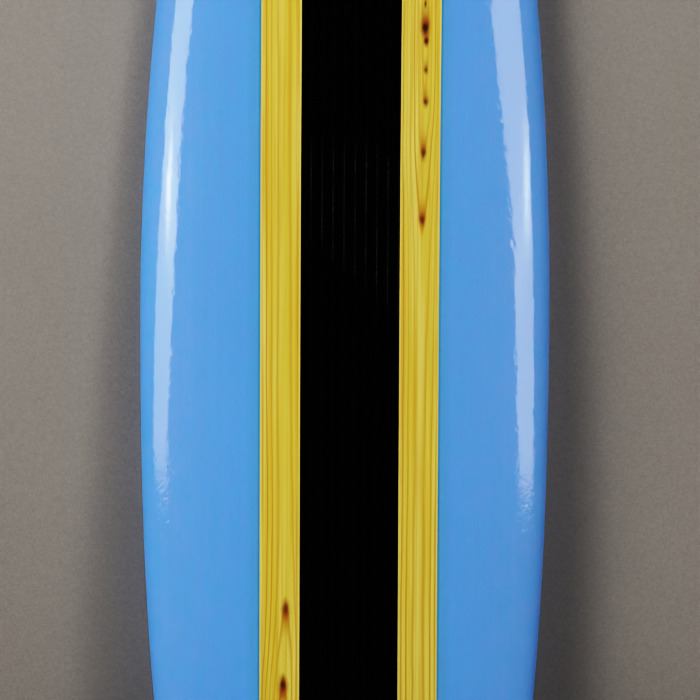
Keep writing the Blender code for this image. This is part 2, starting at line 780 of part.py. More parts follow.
# (radius, y) from the head's face to the inner end
VENT_SCREW_PROFILE = [
    (0.0060, 0.0002),
    (0.0072, 0.0006),
    (0.0072, 0.0012),
    (0.0040, 0.0012),
    (0.0040, 0.0110),
    (0.0034, 0.0116),
]
SEAL_MAJOR = 0.0058
SEAL_MINOR = 0.00050
SEAL_Y = 0.0019
SEAL_MAJOR_SEGS = 24
SEAL_MINOR_SEGS = 8


def vent_body(frame):
    profile = [
        (VENT_RIM_R, 0.0),
        (VENT_RIM_R, VENT_RIM_T),
        (VENT_R, VENT_RIM_T),
        (VENT_R, VENT_D),
    ]
    shape = turned(profile, VENT_SEGS)
    body = piece("vent_body", shape, VENT_BLACK, frame, FITTING_SMOOTH)
    bore = cylinder(VENT_BORE_R, -DECK_BORE_REACH, VENT_D + 0.002, VENT_SEGS)
    combine(body, cutter("cut_vent_bore", bore, frame))
    seat = cylinder(VENT_SEAT_R, -DECK_BORE_REACH, VENT_SEAT_D, VENT_SEGS)
    combine(body, cutter("cut_vent_seat", seat, frame))


def vent_screw(frame):
    axis = empty("vent_screw_axis", frame)
    shape = turned(VENT_SCREW_PROFILE, VENT_SEGS)
    screw = piece("vent_screw", shape, SCREW_STEEL, axis, FITTING_SMOOTH)
    slot = block(
        DRIVER_SLOT_HALF,
        -DRIVER_SLOT_REACH,
        VENT_SLOT_FLOOR,
        -VENT_SLOT_HALF_L,
        VENT_SLOT_HALF_L,
    )
    combine(screw, cutter("cut_vent_screw_slot", slot, axis))
    port = cylinder(VENT_PORT_R, 0.0030, 0.0130, 16)
    combine(screw, cutter("cut_vent_screw_port", port, axis))


def vent_seal(frame):
    """Rubber ring under the screw's head."""
    bm = bmesh.new()
    rows = []
    for i in range(SEAL_MAJOR_SEGS):
        around = 2 * math.pi * i / SEAL_MAJOR_SEGS
        row = []
        for j in range(SEAL_MINOR_SEGS):
            turn = 2 * math.pi * j / SEAL_MINOR_SEGS
            radius = SEAL_MAJOR + SEAL_MINOR * math.cos(turn)
            y = SEAL_Y + SEAL_MINOR * math.sin(turn)
            row.append(bm.verts.new((radius * math.cos(around), y, radius * math.sin(around))))
        rows.append(row)
    for i, row in enumerate(rows):
        following = rows[(i + 1) % SEAL_MAJOR_SEGS]
        for j in range(SEAL_MINOR_SEGS):
            k = (j + 1) % SEAL_MINOR_SEGS
            bm.faces.new((row[j], row[k], following[k], following[j]))
    piece("vent_seal", bm, RUBBER, frame, SEAL_SMOOTH)


vent_frame = deck_frame("vent_frame", VENT_Z)
deck_pocket("vent", vent_frame, (VENT_R, VENT_D), (VENT_RIM_R, VENT_RIM_T), VENT_SEGS)
vent_body(vent_frame)
vent_screw(vent_frame)
vent_seal(vent_frame)
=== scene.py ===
"""A surfboard with pine stringers, three fins, a leash plug and a vent.

The board stands upright: its tail is at z = 0 and its nose points up +Z. The deck faces -Y
and the bottom, with the fins, +Y. "Left" is -X and "right" is +X. Lengths are in metres.
"""

import functools
import math

import bmesh
import bpy
from mathutils import Matrix, Vector


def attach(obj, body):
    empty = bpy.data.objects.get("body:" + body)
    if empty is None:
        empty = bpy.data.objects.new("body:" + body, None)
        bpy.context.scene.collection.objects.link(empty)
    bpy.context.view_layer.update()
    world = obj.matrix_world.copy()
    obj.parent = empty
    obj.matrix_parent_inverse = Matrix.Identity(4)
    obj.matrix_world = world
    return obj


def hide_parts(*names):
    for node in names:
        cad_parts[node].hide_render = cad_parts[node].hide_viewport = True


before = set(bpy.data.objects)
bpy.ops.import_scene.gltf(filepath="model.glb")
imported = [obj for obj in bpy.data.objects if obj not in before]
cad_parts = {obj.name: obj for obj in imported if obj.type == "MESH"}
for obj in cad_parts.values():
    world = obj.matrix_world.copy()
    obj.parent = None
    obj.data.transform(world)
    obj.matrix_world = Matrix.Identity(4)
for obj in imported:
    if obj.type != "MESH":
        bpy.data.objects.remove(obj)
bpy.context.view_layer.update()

# ------------------------------------------------------------------ the board's dimensions
LENGTH = 2.286
HALF_WIDTH = 0.2667
WIDE_Z = 1.170  # the widest station
NOSE_EXP, TAIL_EXP = 1.815, 2.447  # fullness of the outline towards each tip
THICK, THICK_NOSE, THICK_TAIL = 0.068, 0.018, 0.020
THICK_Z = 1.190  # the thickest station
APEX = 0.42  # height of the rail's edge above the bottom, as a share of the thickness
DECK_EXP, BOTTOM_EXP = 3.0, 6.0  # squareness of the section
ROCKER_Z = 1.050  # the station where the bottom has no lift
ROCKER_NOSE, ROCKER_TAIL = (0.115, 2.4), (0.050, 2.2)  # lift, power
TIP_ROUND = 0.020
ORIGIN_Y = -0.011913  # the bottom at the rocker station
SKIN = 0.0010
CORE_INSET, CORE_END = SKIN + 0.00015, 0.0016
CENTRE_W, STRINGER_W = 0.1270, 0.0512
EDGE_IN = CENTRE_W / 2
EDGE_OUT = EDGE_IN + STRINGER_W
STRIP_X = (EDGE_IN + EDGE_OUT) / 2
JOINT = 0.00006  # half of a glue line
GAP = 0.0003  # clearance between a fitting and its pocket
ABOVE = 0.012  # how far the pockets' cutters stand out of the bottom

STATIONS = 190
DECK_SEGS, BOTTOM_SEGS = 64, 48
LAP = 8  # bottom columns that the deck skin wraps round each rail


def towards_tip(z, middle, nose, tail):
    """Share of the way from the middle station to a tip, and the value for that tip."""
    if z >= middle:
        return min((z - middle) / (LENGTH - middle), 1.0), nose
    return (middle - z) / middle, tail


def half_width(z, inset):
    share, power = towards_tip(z, WIDE_Z, NOSE_EXP, TAIL_EXP)
    return (HALF_WIDTH - inset) * math.sqrt(1.0 - share**power)


def thickness(z):
    share, tip = towards_tip(z, THICK_Z, THICK_NOSE, THICK_TAIL)
    return tip + (THICK - tip) * (1.0 - share**2.3) ** 0.9


def rocker(z):
    share, (lift, power) = towards_tip(z, ROCKER_Z, ROCKER_NOSE, ROCKER_TAIL)
    return lift * share**power


def tip_cap(share):
    """Share of the full thickness left by the rounding of the tips."""
    near = min(share, 1.0 - share) * LENGTH / TIP_ROUND
    return 1.0 if near >= 1.0 else math.sqrt(1.0 - (1.0 - near) ** 2)


def surface(share, angle, inset, end_inset):
    """A point of the hull, inset from it. Angle 0 is the +X rail, a quarter turn the deck."""
    z = share * LENGTH
    thick = thickness(z)
    apex = ORIGIN_Y - rocker(z) - APEX * thick
    c, s = math.cos(angle), math.sin(angle)
    deck = s >= 0
    power = 2.0 / (DECK_EXP if deck else BOTTOM_EXP)
    x = half_width(z, inset) * math.copysign(abs(c) ** power, c)
    if abs(c) < 1e-9:
        x = 0.0
    if deck:
        y = apex - ((1.0 - APEX) * thick - inset) * tip_cap(share) * abs(s)
    else:
        y = apex + (APEX * thick - inset) * tip_cap(share) * abs(s)
    return Vector((x, y, end_inset + (LENGTH - 2 * end_inset) * share))


# Stations as shares of the length, closer together towards the tips.
SHARES = [0.5 * (1.0 - math.cos(math.pi * k / STATIONS)) for k in range(STATIONS + 1)]


# ------------------------------------------------------------------ frames
def axes(x_axis, y_axis, z_axis, origin):
    turn = Matrix((x_axis, y_axis, z_axis)).transposed().to_4x4()
    return Matrix.Translation(origin) @ turn


def bottom_frame(x, z, toe_deg=0.0):
    """On the bottom: Y points out of it, Z to the nose, turned towards -X by the toe."""

    def at(px, pz):
        share = abs(px) / half_width(pz, 0.0)
        low = APEX * thickness(pz) * (1.0 - math.sqrt(1.0 - share**BOTTOM_EXP))
        return Vector((px, ORIGIN_Y - rocker(pz) - low, pz))

    reach = 0.01
    along = (at(x, z + reach) - at(x, z - reach)).normalized()
    across = (at(x + reach, z) - at(x - reach, z)).normalized()
    out = along.cross(across).normalized()
    side = out.cross(along).normalized()
    toe = math.radians(toe_deg)
    nose = (along * math.cos(toe) - side * math.sin(toe)).normalized()
    return axes(out.cross(nose).normalized(), out, nose, at(x, z))


def deck_frame(z):
    """On the deck's middle line: Y points into the board, Z to the nose."""

    def at(pz):
        return Vector((0.0, ORIGIN_Y - rocker(pz) - thickness(pz), pz))

    along = (at(z + 0.01) - at(z - 0.01)).normalized()
    side = Vector((1.0, 0.0, 0.0))
    return axes(side, along.cross(side).normalized(), along, at(z))


# ------------------------------------------------------------------ mesh helpers
def new_object(name, bm, sharp_deg=35):
    bmesh.ops.recalc_face_normals(bm, faces=bm.faces)
    mesh = bpy.data.meshes.new(name)
    bm.to_mesh(mesh)
    bm.free()
    obj = bpy.data.objects.new(name, mesh)
    bpy.context.scene.collection.objects.link(obj)
    mesh.shade_smooth()
    mesh.set_sharp_from_angle(angle=math.radians(sharp_deg))
    return obj


def piece(name, frame, build, *args, **named):
    """An object from a builder that fills a bmesh; the mesh itself moves into the frame."""
    bm = bmesh.new()
    build(bm, *args, **named)
    obj = new_object(name, bm)
    obj.data.transform(frame)
    obj.data.update()
    return obj


def bridge(bm, rows, closed=True):
    """Joins neighbouring rows of vertices with quads."""
    n = len(rows[0])
    for a, b in zip(rows, rows[1:]):
        for i in range(n if closed else n - 1):
            j = (i + 1) % n
            bm.faces.new((a[i], a[j], b[j], b[i]))


def loft(bm, rings):
    rows = [[bm.verts.new(p) for p in ring] for ring in rings]
    bridge(bm, rows)
    bm.faces.new(rows[0][::-1])
    bm.faces.new(rows[-1])


def stadium(length, width, middle=0.0, segs=24):
    """A slot with round ends, along Z, as (x, z) points."""
    radius, straight = width / 2, length / 2 - width / 2
    points = []
    for start, end in ((0.0, straight), (math.pi, -straight)):
        for k in range(segs + 1):
            a = start + math.pi * k / segs
            points.append((radius * math.cos(a), middle + end + radius * math.sin(a)))
    return points


def pocket_outline(length, width, middle=0.0):
    return stadium(length + 2 * GAP, width + 2 * GAP, middle)


def layer(outline, y):
    return [Vector((x, y, z)) for x, z in outline]


def prism(bm, outline, y0, y1):
    loft(bm, [layer(outline, y) for y in (y0, y1)])


def block(bm, half_x, y0, y1, z0, z1):
    prism(bm, [(-half_x, z0), (half_x, z0), (half_x, z1), (-half_x, z1)], y0, y1)


def turned(bm, profile, segs=64, matrix=Matrix()):
    """A turned solid about Y from (radius, y) pairs, then moved by the matrix."""
    rings = []
    for radius, y in profile:
        turns = [2 * math.pi * k / segs for k in range(segs)]
        disc = [(radius * math.cos(a), radius * math.sin(a)) for a in turns]
        rings.append([matrix @ v for v in layer(disc, y)])
    loft(bm, rings)


def cylinder(bm, radius, y0, y1, segs=48, matrix=Matrix()):
    turned(bm, [(radius, y0), (radius, y1)], segs, matrix)


cutters = []


def cutter(frame, build, *args, **named):
    obj = piece("cutter", frame, build, *args, **named)
    cutters.append(obj)
    return obj


def bake(obj, sharp_deg=35):
    """Applies the modifiers, so that the piece is a plain mesh."""
    depsgraph = bpy.context.evaluated_depsgraph_get()
    mesh = bpy.data.meshes.new_from_object(obj.evaluated_get(depsgraph), depsgraph=depsgraph)
    old = obj.data
    obj.modifiers.clear()
    obj.data = mesh
    bpy.data.meshes.remove(old)
    mesh.shade_smooth()
    mesh.set_sharp_from_angle(angle=math.radians(sharp_deg))


def cut(obj, tool, operation="DIFFERENCE"):
    mod = obj.modifiers.new("cut", "BOOLEAN")
    mod.operation = operation
    mod.solver = "EXACT"
    mod.object = tool
    bake(obj)


def carve(obj, frame, build, *args, **named):
    """Cuts a newly built shape out of the object."""
    cut(obj, cutter(frame, build, *args, **named))


def soften(obj, width, segments=2):
    """Rounds a moulded or machined piece's sharp edges."""
    mod = obj.modifiers.new("edge_round", "BEVEL")
    mod.width = width
    mod.segments = segments
    mod.limit_method = "ANGLE"
    mod.angle_limit = math.radians(40)
    mod.use_clamp_overlap = True
    mod.harden_normals = False
    bake(obj, 50)


def register(obj, body, node):
    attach(obj, body)
    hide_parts(node)


def done(obj, body, node, material):
    obj.data.materials.clear()
    obj.data.materials.append(material)
    register(obj, body, node)


# ------------------------------------------------------------------ shader helpers
def lin(r, g, b):
    """Linear colour from display values of 0 to 255."""

    def one(v):
        v /= 255.0
        return v / 12.92 if v <= 0.04045 else ((v + 0.055) / 1.055) ** 2.4

    return (one(r), one(g), one(b), 1.0)


def toned(colour, gain):
    return [min(1, c * gain) for c in colour] + [1]


def set_points(mapping, curve, points, handle):
    while len(curve.points) < len(points):
        curve.points.new(0.5, 0.5)
    for point, location in zip(curve.points, points):
        point.location = location
        point.handle_type = handle
    mapping.update()


class Value:
    """A node's output; arithmetic on it adds Math nodes."""

    def __init__(self, graph, socket):
        self.graph = graph
        self.socket = socket

    def __add__(self, other):
        return self.graph.math("ADD", self, other)

    def __radd__(self, other):
        return self.graph.math("ADD", other, self)

    def __sub__(self, other):
        return self.graph.math("SUBTRACT", self, other)

    def __rsub__(self, other):
        return self.graph.math("SUBTRACT", other, self)

    def __mul__(self, other):
        return self.graph.math("MULTIPLY", self, other)

    def __truediv__(self, other):
        return self.graph.math("DIVIDE", self, other)

    def __abs__(self):
        return self.graph.math("ABSOLUTE", self)


class Graph:
    """The node tree of a material, lamp or world."""

    def __init__(self, owner):
        owner.use_nodes = True
        self.owner = owner
        self.tree = owner.node_tree
        self.tree.nodes.clear()

    def node(self, kind, inputs=None, **settings):
        """Adds a node. Inputs are given by name or place; None leaves one as it is."""
        made = self.tree.nodes.new("ShaderNode" + kind)
        for key, setting in settings.items():
            setattr(made, key, setting)
        for key, value in (inputs or {}).items():
            if isinstance(value, Value):
                self.tree.links.new(value.socket, made.inputs[key])
            elif value is not None:
                made.inputs[key].default_value = value
        return made

    def value(self, kind, inputs=None, output=0, **settings):
        return Value(self, self.node(kind, inputs, **settings).outputs[output])

    def outputs(self, kind, inputs=None):
        return {s.name: Value(self, s) for s in self.node(kind, inputs).outputs}

    def math(self, operation, a, b=None):
        return self.value("Math", {0: a, 1: b}, operation=operation)

    def step(self, value, start, end, first=0.0, last=1.0):
        """Goes smoothly from first to last as the value goes from start to end."""
        inputs = dict(enumerate((value, start, end, first, last)))
        return self.value("MapRange", inputs, interpolation_type="SMOOTHSTEP")

    def fall(self, value, start, end):
        return self.step(value, start, end, first=1.0, last=0.0)

    def radius(self, a, b):
        return self.math("SQRT", a * a + b * b)

    def mix_shader(self, factor, first, second):
        return self.value("MixShader", {0: factor, 1: first, 2: second})


class Material(Graph):
    def __init__(self, name):
        super().__init__(bpy.data.materials.new(name))
        self.position = self.value("TexCoord", output="Object")

    def xyz(self):
        return self.outputs("SeparateXYZ", {0: self.position}).values()

    def vector(self, x, y, z):
        return self.value("CombineXYZ", {0: x, 1: y, 2: z})

    def stretched(self, factors):
        return self.value("VectorMath", {0: self.position, 1: factors}, operation="MULTIPLY")

    def noise(self, scale=1.0, stretch=None, at=None, detail=2.0, rough=0.5, distortion=0.0):
        """Noise over the position, over stretched coordinates, or at a given vector."""
        if at is None:
            at = self.stretched(stretch) if stretch else self.position
        inputs = {"Vector": at, "Scale": scale, "Detail": detail, "Roughness": rough}
        inputs["Distortion"] = distortion
        return self.value("TexNoise", inputs)

    def specks(self, at, scale, channel, inner, outer):
        """Round specks in a tenth of the cells, fading from inner to outer radius."""
        cells = self.outputs("TexVoronoi", {"Vector": at, "Scale": scale})
        random = self.outputs("SeparateColor", {0: cells["Color"]})[channel]
        few = self.math("GREATER_THAN", random, 0.90)
        return self.fall(cells["Distance"], inner, outer) * few

    def mix(self, factor, a, b, blend="MIX"):
        inputs = {0: factor, 6: a, 7: b}
        return self.value("Mix", inputs, output=2, data_type="RGBA", blend_type=blend)

    def dim(self, colour, shade, red=None):
        """Multiplies the colour by a grey, or by one with its own red part."""
        grey = self.vector(shade if red is None else red, shade, shade)
        return self.mix(1.0, colour, grey, "MULTIPLY")

    def curve(self, value, points):
        made = self.value("FloatCurve", {"Value": value})
        mapping = made.socket.node.mapping
        set_points(mapping, mapping.curves[0], points, "AUTO")
        return made

    def bump(self, height, distance, normal=None):
        inputs = {"Strength": 1.0, "Distance": distance, "Height": height, "Normal": normal}
        return self.value("Bump", inputs)

    def finish(self, shader):
        self.node("OutputMaterial", {0: shader})
        return self.owner

    def principled(self, colour, rough, bump, metallic=0.0, coat=0.0, specular=None, glow=None):
        inputs = {
            "Base Color": colour,
            "Roughness": rough,
            "Metallic": metallic,
            "Normal": bump,
            "Coat Weight": coat,
            "Specular IOR Level": specular,
            "Emission Color": glow,
            "Emission Strength": None if glow is None else 1.0,
        }
        return self.finish(self.value("BsdfPrincipled", inputs))


# ------------------------------------------------------------------ foam
LINE_PITCH = 0.01406  # between the marks of the blanks' machining
BLUE_LINE_SHIFT, BLACK_LINE_SHIFT = 0.9494, 0.0506


def blue_foam(name):
    """Sprayed foam: sky blue, a little greener beside the stringers."""
    t = Material(name)
    x, y, z = t.xyz()
    from_joint = (abs(x) - EDGE_OUT) * 1000.0  # mm outward from the stringer
    cloud = t.noise(9.0, (1.0, 1.0, 0.45), detail=4.0, rough=0.6)
    fine = t.noise(300.0, (1.0, 1.0, 0.7), detail=3.0, rough=0.7)
    streak = t.noise(stretch=(220.0, 20.0, 2.5), rough=0.6)
    hue = t.noise(55.0, (1.0, 1.0, 0.5), detail=3.0, rough=0.6)
    # deeper blue, then teal, then a dark seam towards the joint
    col = t.mix(t.step(from_joint, 2.0, 150.0), lin(119, 168, 245), lin(132, 173, 248))
    col = t.mix(t.step(hue, 0.35, 0.65, first=0.20, last=0.55), col, lin(110, 176, 246))
    teal = t.step(from_joint, 0.0, 22.0, first=0.50, last=0.0)
    col = t.mix(teal, col, lin(104, 166, 208))
    seam = t.step(from_joint, 0.4, 3.8, first=0.70, last=0.0)
    col = t.mix(seam, col, lin(48, 132, 168))
    # the glass cloth's weave shows faintly
    warp = t.math("SINE", x * 2600.0)
    weft = t.math("SINE", z * 2450.0)
    weave = (warp + weft) * 0.006
    # brightness: clouds, fine grain, streaks, weave, then painted shade that darkens it towards
    # the nose
    shade = 0.955 + cloud * 0.09
    shade = shade * (0.91 + fine * 0.18)
    shade = shade * (0.97 + streak * 0.06)
    shade = shade + weave
    # painted shade: lighter low down and darker high up, evening out the lamps' light
    shade = shade * t.step(z, 0.592471, 1.641251, first=1.055, last=0.95)
    # painted light: the -X rail is lighter and less red towards its edge, where it turns away
    # from the lamps; the +X half is a little redder
    shade = shade * t.step(x, -0.262, -0.224, first=1.07, last=1.0)
    red = t.step(x, -0.262, -0.224, first=0.88, last=1.0) * t.step(
        x, 0.0, 0.12, first=1.0, last=1.045
    )
    col = t.dim(col, shade, red=shade * red)
    # pin holes in the paint
    holes = t.specks(t.stretched((1.0, 1.0, 1.0)), 26.0, "Red", inner=0.018, outer=0.030)
    col = t.mix(holes * 0.55, col, lin(40, 84, 128))
    # faint, broken marks of the blank's machining
    place = t.math("FRACT", (x + BLUE_LINE_SHIFT) / LINE_PITCH)
    line = t.step(abs(place - 0.5), 0.455, 0.495)
    breaks = t.step(t.noise(stretch=(60.0, 10.0, 260.0), rough=0.6), 0.50, 0.62)
    col = t.mix((line * breaks) * 0.16, col, lin(150, 200, 240))
    bump = t.bump(fine * 0.6 + line * -0.5, distance=0.00005)
    return t.principled(col, 0.42 + fine * 0.12, bump, specular=0.2)


def black_foam(name):
    """Sprayed foam: deep black, with painted glints in rows along the machining lines."""
    t = Material(name)
    x, y, z = t.xyz()
    fine = t.noise(420.0, (1.0, 1.0, 0.6), detail=3.0, rough=0.7)
    col = t.mix(fine, (0.0010, 0.0010, 0.0012, 1), (0.0022, 0.0023, 0.0024, 1))
    place = (x + BLACK_LINE_SHIFT) / LINE_PITCH
    number = t.math("ROUND", place)
    line = t.fall(abs(place - number), 0.020, 0.085)
    # painted glints come in dashes along each line, with a slower change of their strength
    seed = t.vector(number * 7.31, 0.0, z * 260.0)
    dash = 0.30 + t.step(t.noise(at=seed, rough=0.6), 0.44, 0.70) * 0.70
    slow = t.step(t.noise(at=t.vector(number * 3.7, 0.0, z * 22.0)), 0.40, 0.62)
    # the stretch of each line where the painted glints show: its ends move down from line to line
    low = 1.262 - number * 0.0125
    high = 1.402 - number * 0.0035
    reach = t.step(z - low, -0.012, 0.020) * t.step(high - z, -0.012, 0.030)
    on_deck = t.math("LESS_THAN", y, ORIGIN_Y - 0.03)
    # painted highlight: the glints are mixed into the colour as a light grey
    glint_weight = (line * dash) * (reach * on_deck)
    glint_weight = glint_weight * (0.40 + slow * 0.60)
    everywhere = (line * dash) * 0.06
    col = t.mix(t.math("MAXIMUM", glint_weight, everywhere), col, lin(60, 65, 68))
    specks = t.specks(t.position, 19.0, "Green", inner=0.014, outer=0.030)
    col = t.mix(specks, col, lin(120, 124, 128))
    bump = t.bump(fine + line * 0.8, distance=0.00004)
    return t.principled(col, 0.40 + fine * 0.1, bump, specular=0.0)


# ------------------------------------------------------------------ pine
RING_W = 0.0048  # a growth ring
PITH_SPAN = 0.04  # range across the board of the pith's curve
DEPTH_SPAN = 12.0  # range of the depth's curve, in ring widths
LATE_WOOD = 40.80  # the dark part of a ring, plus whole rings that keep the number positive

# Share of the length, place x of the pith.
RIGHT_PITH = [
    (0.00, 0.0912), (0.30, 0.0900), (0.5184963, 0.0915), (0.5636420, 0.0922116),
    (0.6019773, 0.0923899), (0.6296861, 0.0940176), (0.6683794, 0.0938016),
    (0.72, 0.0930), (1.00, 0.0890),
]
LEFT_PITH = [
    (0.00, -0.0860), (0.20, -0.0880), (0.2591738, -0.0872), (0.3029304, -0.0843534),
    (0.3454159, -0.0811403), (0.3950961, -0.0820), (0.60, -0.0850), (1.00, -0.0890),
]
# Share of the length, depth of the pith under the face in ring widths.
RIGHT_DEPTH = [
    (0.00, 3.7), (0.10, 3.4), (0.30, 3.5), (0.5184963, 3.35), (0.5636420, 2.80),
    (0.6019773, 1.80), (0.6296861, 0.90), (0.6462831, 0.50), (0.6683794, 0.15),
    (0.7014528, 0.20), (0.75, 1.2), (0.86, 2.6), (1.00, 3.8),
]
LEFT_DEPTH = [
    (0.00, 3.0), (0.10, 1.4), (0.20, 0.6), (0.2591738, 1.10), (0.3029304, 1.90),
    (0.3454159, 2.90), (0.3894598, 3.35), (0.50, 3.45), (0.62, 3.6), (0.80, 3.2),
    (1.00, 2.8),
]
# Dark pin knots: height z, place x, half width, half length, strength.
RIGHT_PINS = [
    (1.560702, 0.0937066, 0.0014, 0.0046, 0.72),
    (1.530439, 0.0939130, 0.0044, 0.0096, 1.00),
    (1.514033, 0.0953108, 0.0026, 0.0058, 0.95),
    (1.477403, 0.0950457, 0.0023, 0.0050, 0.62),
    (1.436931, 0.0953208, 0.0029, 0.0056, 0.66),
    (1.372315, 0.0929301, 0.0031, 0.0082, 0.70),
    (1.287214, 0.0919630, 0.0034, 0.0070, 0.74),
    (1.643765, 0.0935, 0.0026, 0.0070, 0.80),
]
LEFT_PINS = [
    (0.789621, -0.0812689, 0.0040, 0.0096, 0.66),
    (0.691202, -0.0846020, 0.0042, 0.0098, 0.84),
    (0.553413, -0.0868, 0.0032, 0.0070, 0.80),
]


def pin_knots(t, x, z, pins, up):
    """Dark cores, their rims, and resin smears that narrow away from the knots."""
    cores, rims, smears = [], [], []
    crook = (t.noise(stretch=(240.0, 60.0, 110.0)) - 0.5) * 1.1
    for pin_z, pin_x, half_w, half_l, strength in pins:
        along = (z - pin_z) / half_l
        radius = t.radius((x - pin_x) / half_w + crook, along)
        cores.append(t.fall(radius, 0.20, 1.15) * strength)
        rims.append(t.fall(radius, 0.8, 1.9) * strength)
        run = ((z - pin_z) / (half_l * 4.2)) * up
        fade = t.step(run, -0.16, 0.06) * t.fall(run, 0.10, 1.0)
        across = (x - pin_x) / (half_w * 2.1)
        smears.append((fade * t.fall(abs(across), 0.15, 1.0)) * strength)
    largest = functools.partial(functools.reduce, functools.partial(t.math, "MAXIMUM"))
    return largest(cores), largest(rims), largest(smears)


def pine(name, pith, depth_points, pins, up, phase):
    """Flat-sawn pine. The growth rings are cones about a pith that runs below the face.

    The smear of resin runs up the board from each pin knot if up is 1, and down if it is
    -1. phase is the depth, in ring widths over a whole number, of the dark late wood.
    """
    t = Material(name)
    x, y, z = t.xyz()
    share = z / LENGTH
    start = pith[0][1]
    line = t.curve(share, [(a, (b - start) / PITH_SPAN + 0.5) for a, b in pith])
    line = (line - 0.5) * PITH_SPAN + start
    wobble = t.noise(stretch=(30.0, 12.0, 7.0), rough=0.55) - 0.5
    depth = t.curve(share, [(a, b / DEPTH_SPAN) for a, b in depth_points]) * DEPTH_SPAN
    # the ring number at this point of the face
    rings = t.radius((x - line) / RING_W, depth) + wobble * 0.42
    within = t.math("FRACT", rings + (LATE_WOOD - phase))
    number = t.math("FLOOR", rings + (LATE_WOOD - phase))
    # each ring's late wood has its own strength
    each = t.noise(at=t.vector(number * 5.17, 0.0, z * 0.8), detail=0.0)
    late = t.step(within, 0.48, 0.84) * t.fall(within, 0.86, 0.97)
    late = late * t.step(each, 0.30, 0.68, first=0.35, last=1.0)
    fibre = t.noise(stretch=(900.0, 300.0, 9.0), detail=3.0, rough=0.6)
    coarse_fibre = t.noise(stretch=(330.0, 90.0, 2.4), rough=0.6)
    broad = t.noise(stretch=(60.0, 8.0, 2.0))
    early = t.mix(t.step(broad, 0.35, 0.65), lin(234, 218, 122), lin(224, 202, 92))
    col = t.mix(late * 0.95, early, lin(204, 140, 42))
    col = t.mix(t.step(coarse_fibre, 0.46, 0.66) * 0.50, col, lin(214, 166, 52))
    core, rim, smear = pin_knots(t, x, z, pins, up)
    col = t.mix(smear * 0.86, col, lin(172, 104, 24))
    col = t.mix(rim * 0.62, col, lin(160, 86, 24))
    col = t.mix(core, col, lin(78, 42, 22))
    # brightness: fibres and broad bands, then painted shade that darkens it towards the nose
    shade = (0.93 + fibre * 0.14) * (0.965 + broad * 0.07)
    # painted shade: lighter low down and darker high up, evening out the lamps' light
    shade = shade * t.step(z, 0.774102, 1.414142, first=1.07, last=0.995)
    col = t.dim(col, shade)
    # along each glue line: a lighter edge, with an orange line inside it
    edge = STRINGER_W / 2 - abs(abs(x) - STRIP_X)
    orange = t.step(edge, 0.0016, 0.0030) * t.fall(edge, 0.0030, 0.0062)
    patch = t.step(t.noise(stretch=(20.0, 5.0, 5.0)), 0.38, 0.62)
    col = t.mix((orange * patch) * 0.55, col, lin(208, 138, 24))
    bright = t.fall(edge, 0.0008, 0.0036)
    col = t.mix(bright * 0.75, col, lin(240, 224, 132))
    bump = t.bump(late * 0.5 + fibre * 0.6, distance=0.00006)
    return t.principled(col, 0.38 + fibre * 0.15, bump, specular=0.2)


# ------------------------------------------------------------------ clear resin
# Small pits and drops: x, z, half width, half length, height as a share of DROP_HEIGHT.
DROPS = (
    (0.212282, 1.256671, 0.0046, 0.0070, -0.22),
    (-0.266469, 1.195491, 0.0030, 0.0095, 0.35),
    (-0.234835, 1.271946, 0.0022, 0.0040, 0.10),
    (0.198595, 1.454645, 0.0024, 0.0038, -0.10),
    (0.218905, 1.017624, 0.0024, 0.0042, -0.12),
    (-0.231374, 1.425539, 0.0026, 0.0044, -0.10),
    (0.197601, 1.411608, 0.0022, 0.0036, 0.09),
)
DROP_HEIGHT = 0.00060


def resin_bumps(t):
    """The resin's relief, from broad waves to small nibs."""
    x, y, z = t.xyz()
    wide = t.noise(30.0, (1.0, 1.0, 0.40))
    mid = t.noise(135.0, (1.0, 1.0, 0.80), detail=1.0)
    small = t.noise(260.0, (1.0, 1.0, 1.0), detail=1.0)
    hair = t.noise(stretch=(420.0, 60.0, 7.0), rough=0.6)
    # wrinkles: the lower half was coated thicker, and towards the rails
    low = t.fall(z, 0.939238, 1.050973)
    outer = t.step(abs(x), 0.15, 0.24, first=0.35, last=1.0)
    ripple = low * outer
    # these run aslant, steeply up towards +X
    across = x * 0.90 - z * 0.43
    along = x * 0.43 + z * 0.90
    folds = t.noise(at=t.vector(across * 400.0, y * 60.0, along * 160.0), detail=1.0)
    bump = t.bump(wide, distance=0.00013)
    bump = t.bump(mid, distance=0.000110, normal=bump)
    bump = t.bump(small, distance=0.000042, normal=bump)
    bump = t.bump(folds * ripple, distance=0.000180, normal=bump)
    bump = t.bump(hair, distance=0.0000030, normal=bump)
    drops = []
    for drop_x, drop_z, half_w, half_l, height in DROPS:
        radius = t.radius((x - drop_x) / half_w, (z - drop_z) / half_l)
        drops.append(t.fall(radius, 0.0, 1.0) * height)
    bump = t.bump(sum(drops[1:], drops[0]), distance=DROP_HEIGHT, normal=bump)
    nibs = t.specks(t.position, 21.0, "Blue", inner=0.0, outer=0.045)
    return t.bump(nibs, distance=0.00022, normal=bump), small


def clear_coat(name):
    """Polished resin over the foam: what is below shows through, with a wavy mirror."""
    t = Material(name)
    bump, small = resin_bumps(t)
    fresnel = t.value("Fresnel", {"IOR": 1.50, "Normal": bump})
    gloss = t.value(
        "BsdfGlossy",
        {"Color": (0.945, 1.0, 0.985, 1), "Roughness": 0.014 + small * 0.016, "Normal": bump},
    )
    clear = t.value("BsdfTransparent", {"Color": (0.985, 0.992, 1.0, 1)})
    # the paint still shows where the rail turns out of sight
    seen = t.mix_shader(t.math("MINIMUM", fresnel, 0.36), clear, gloss)
    # light on its way to the foam passes straight through
    through = t.value("BsdfTransparent", {"Color": (0.958, 0.962, 0.980, 1)})
    path = t.outputs("LightPath")
    skip = t.math("MAXIMUM", path["Is Shadow Ray"], path["Is Diffuse Ray"])
    return t.finish(t.mix_shader(skip, seen, through))


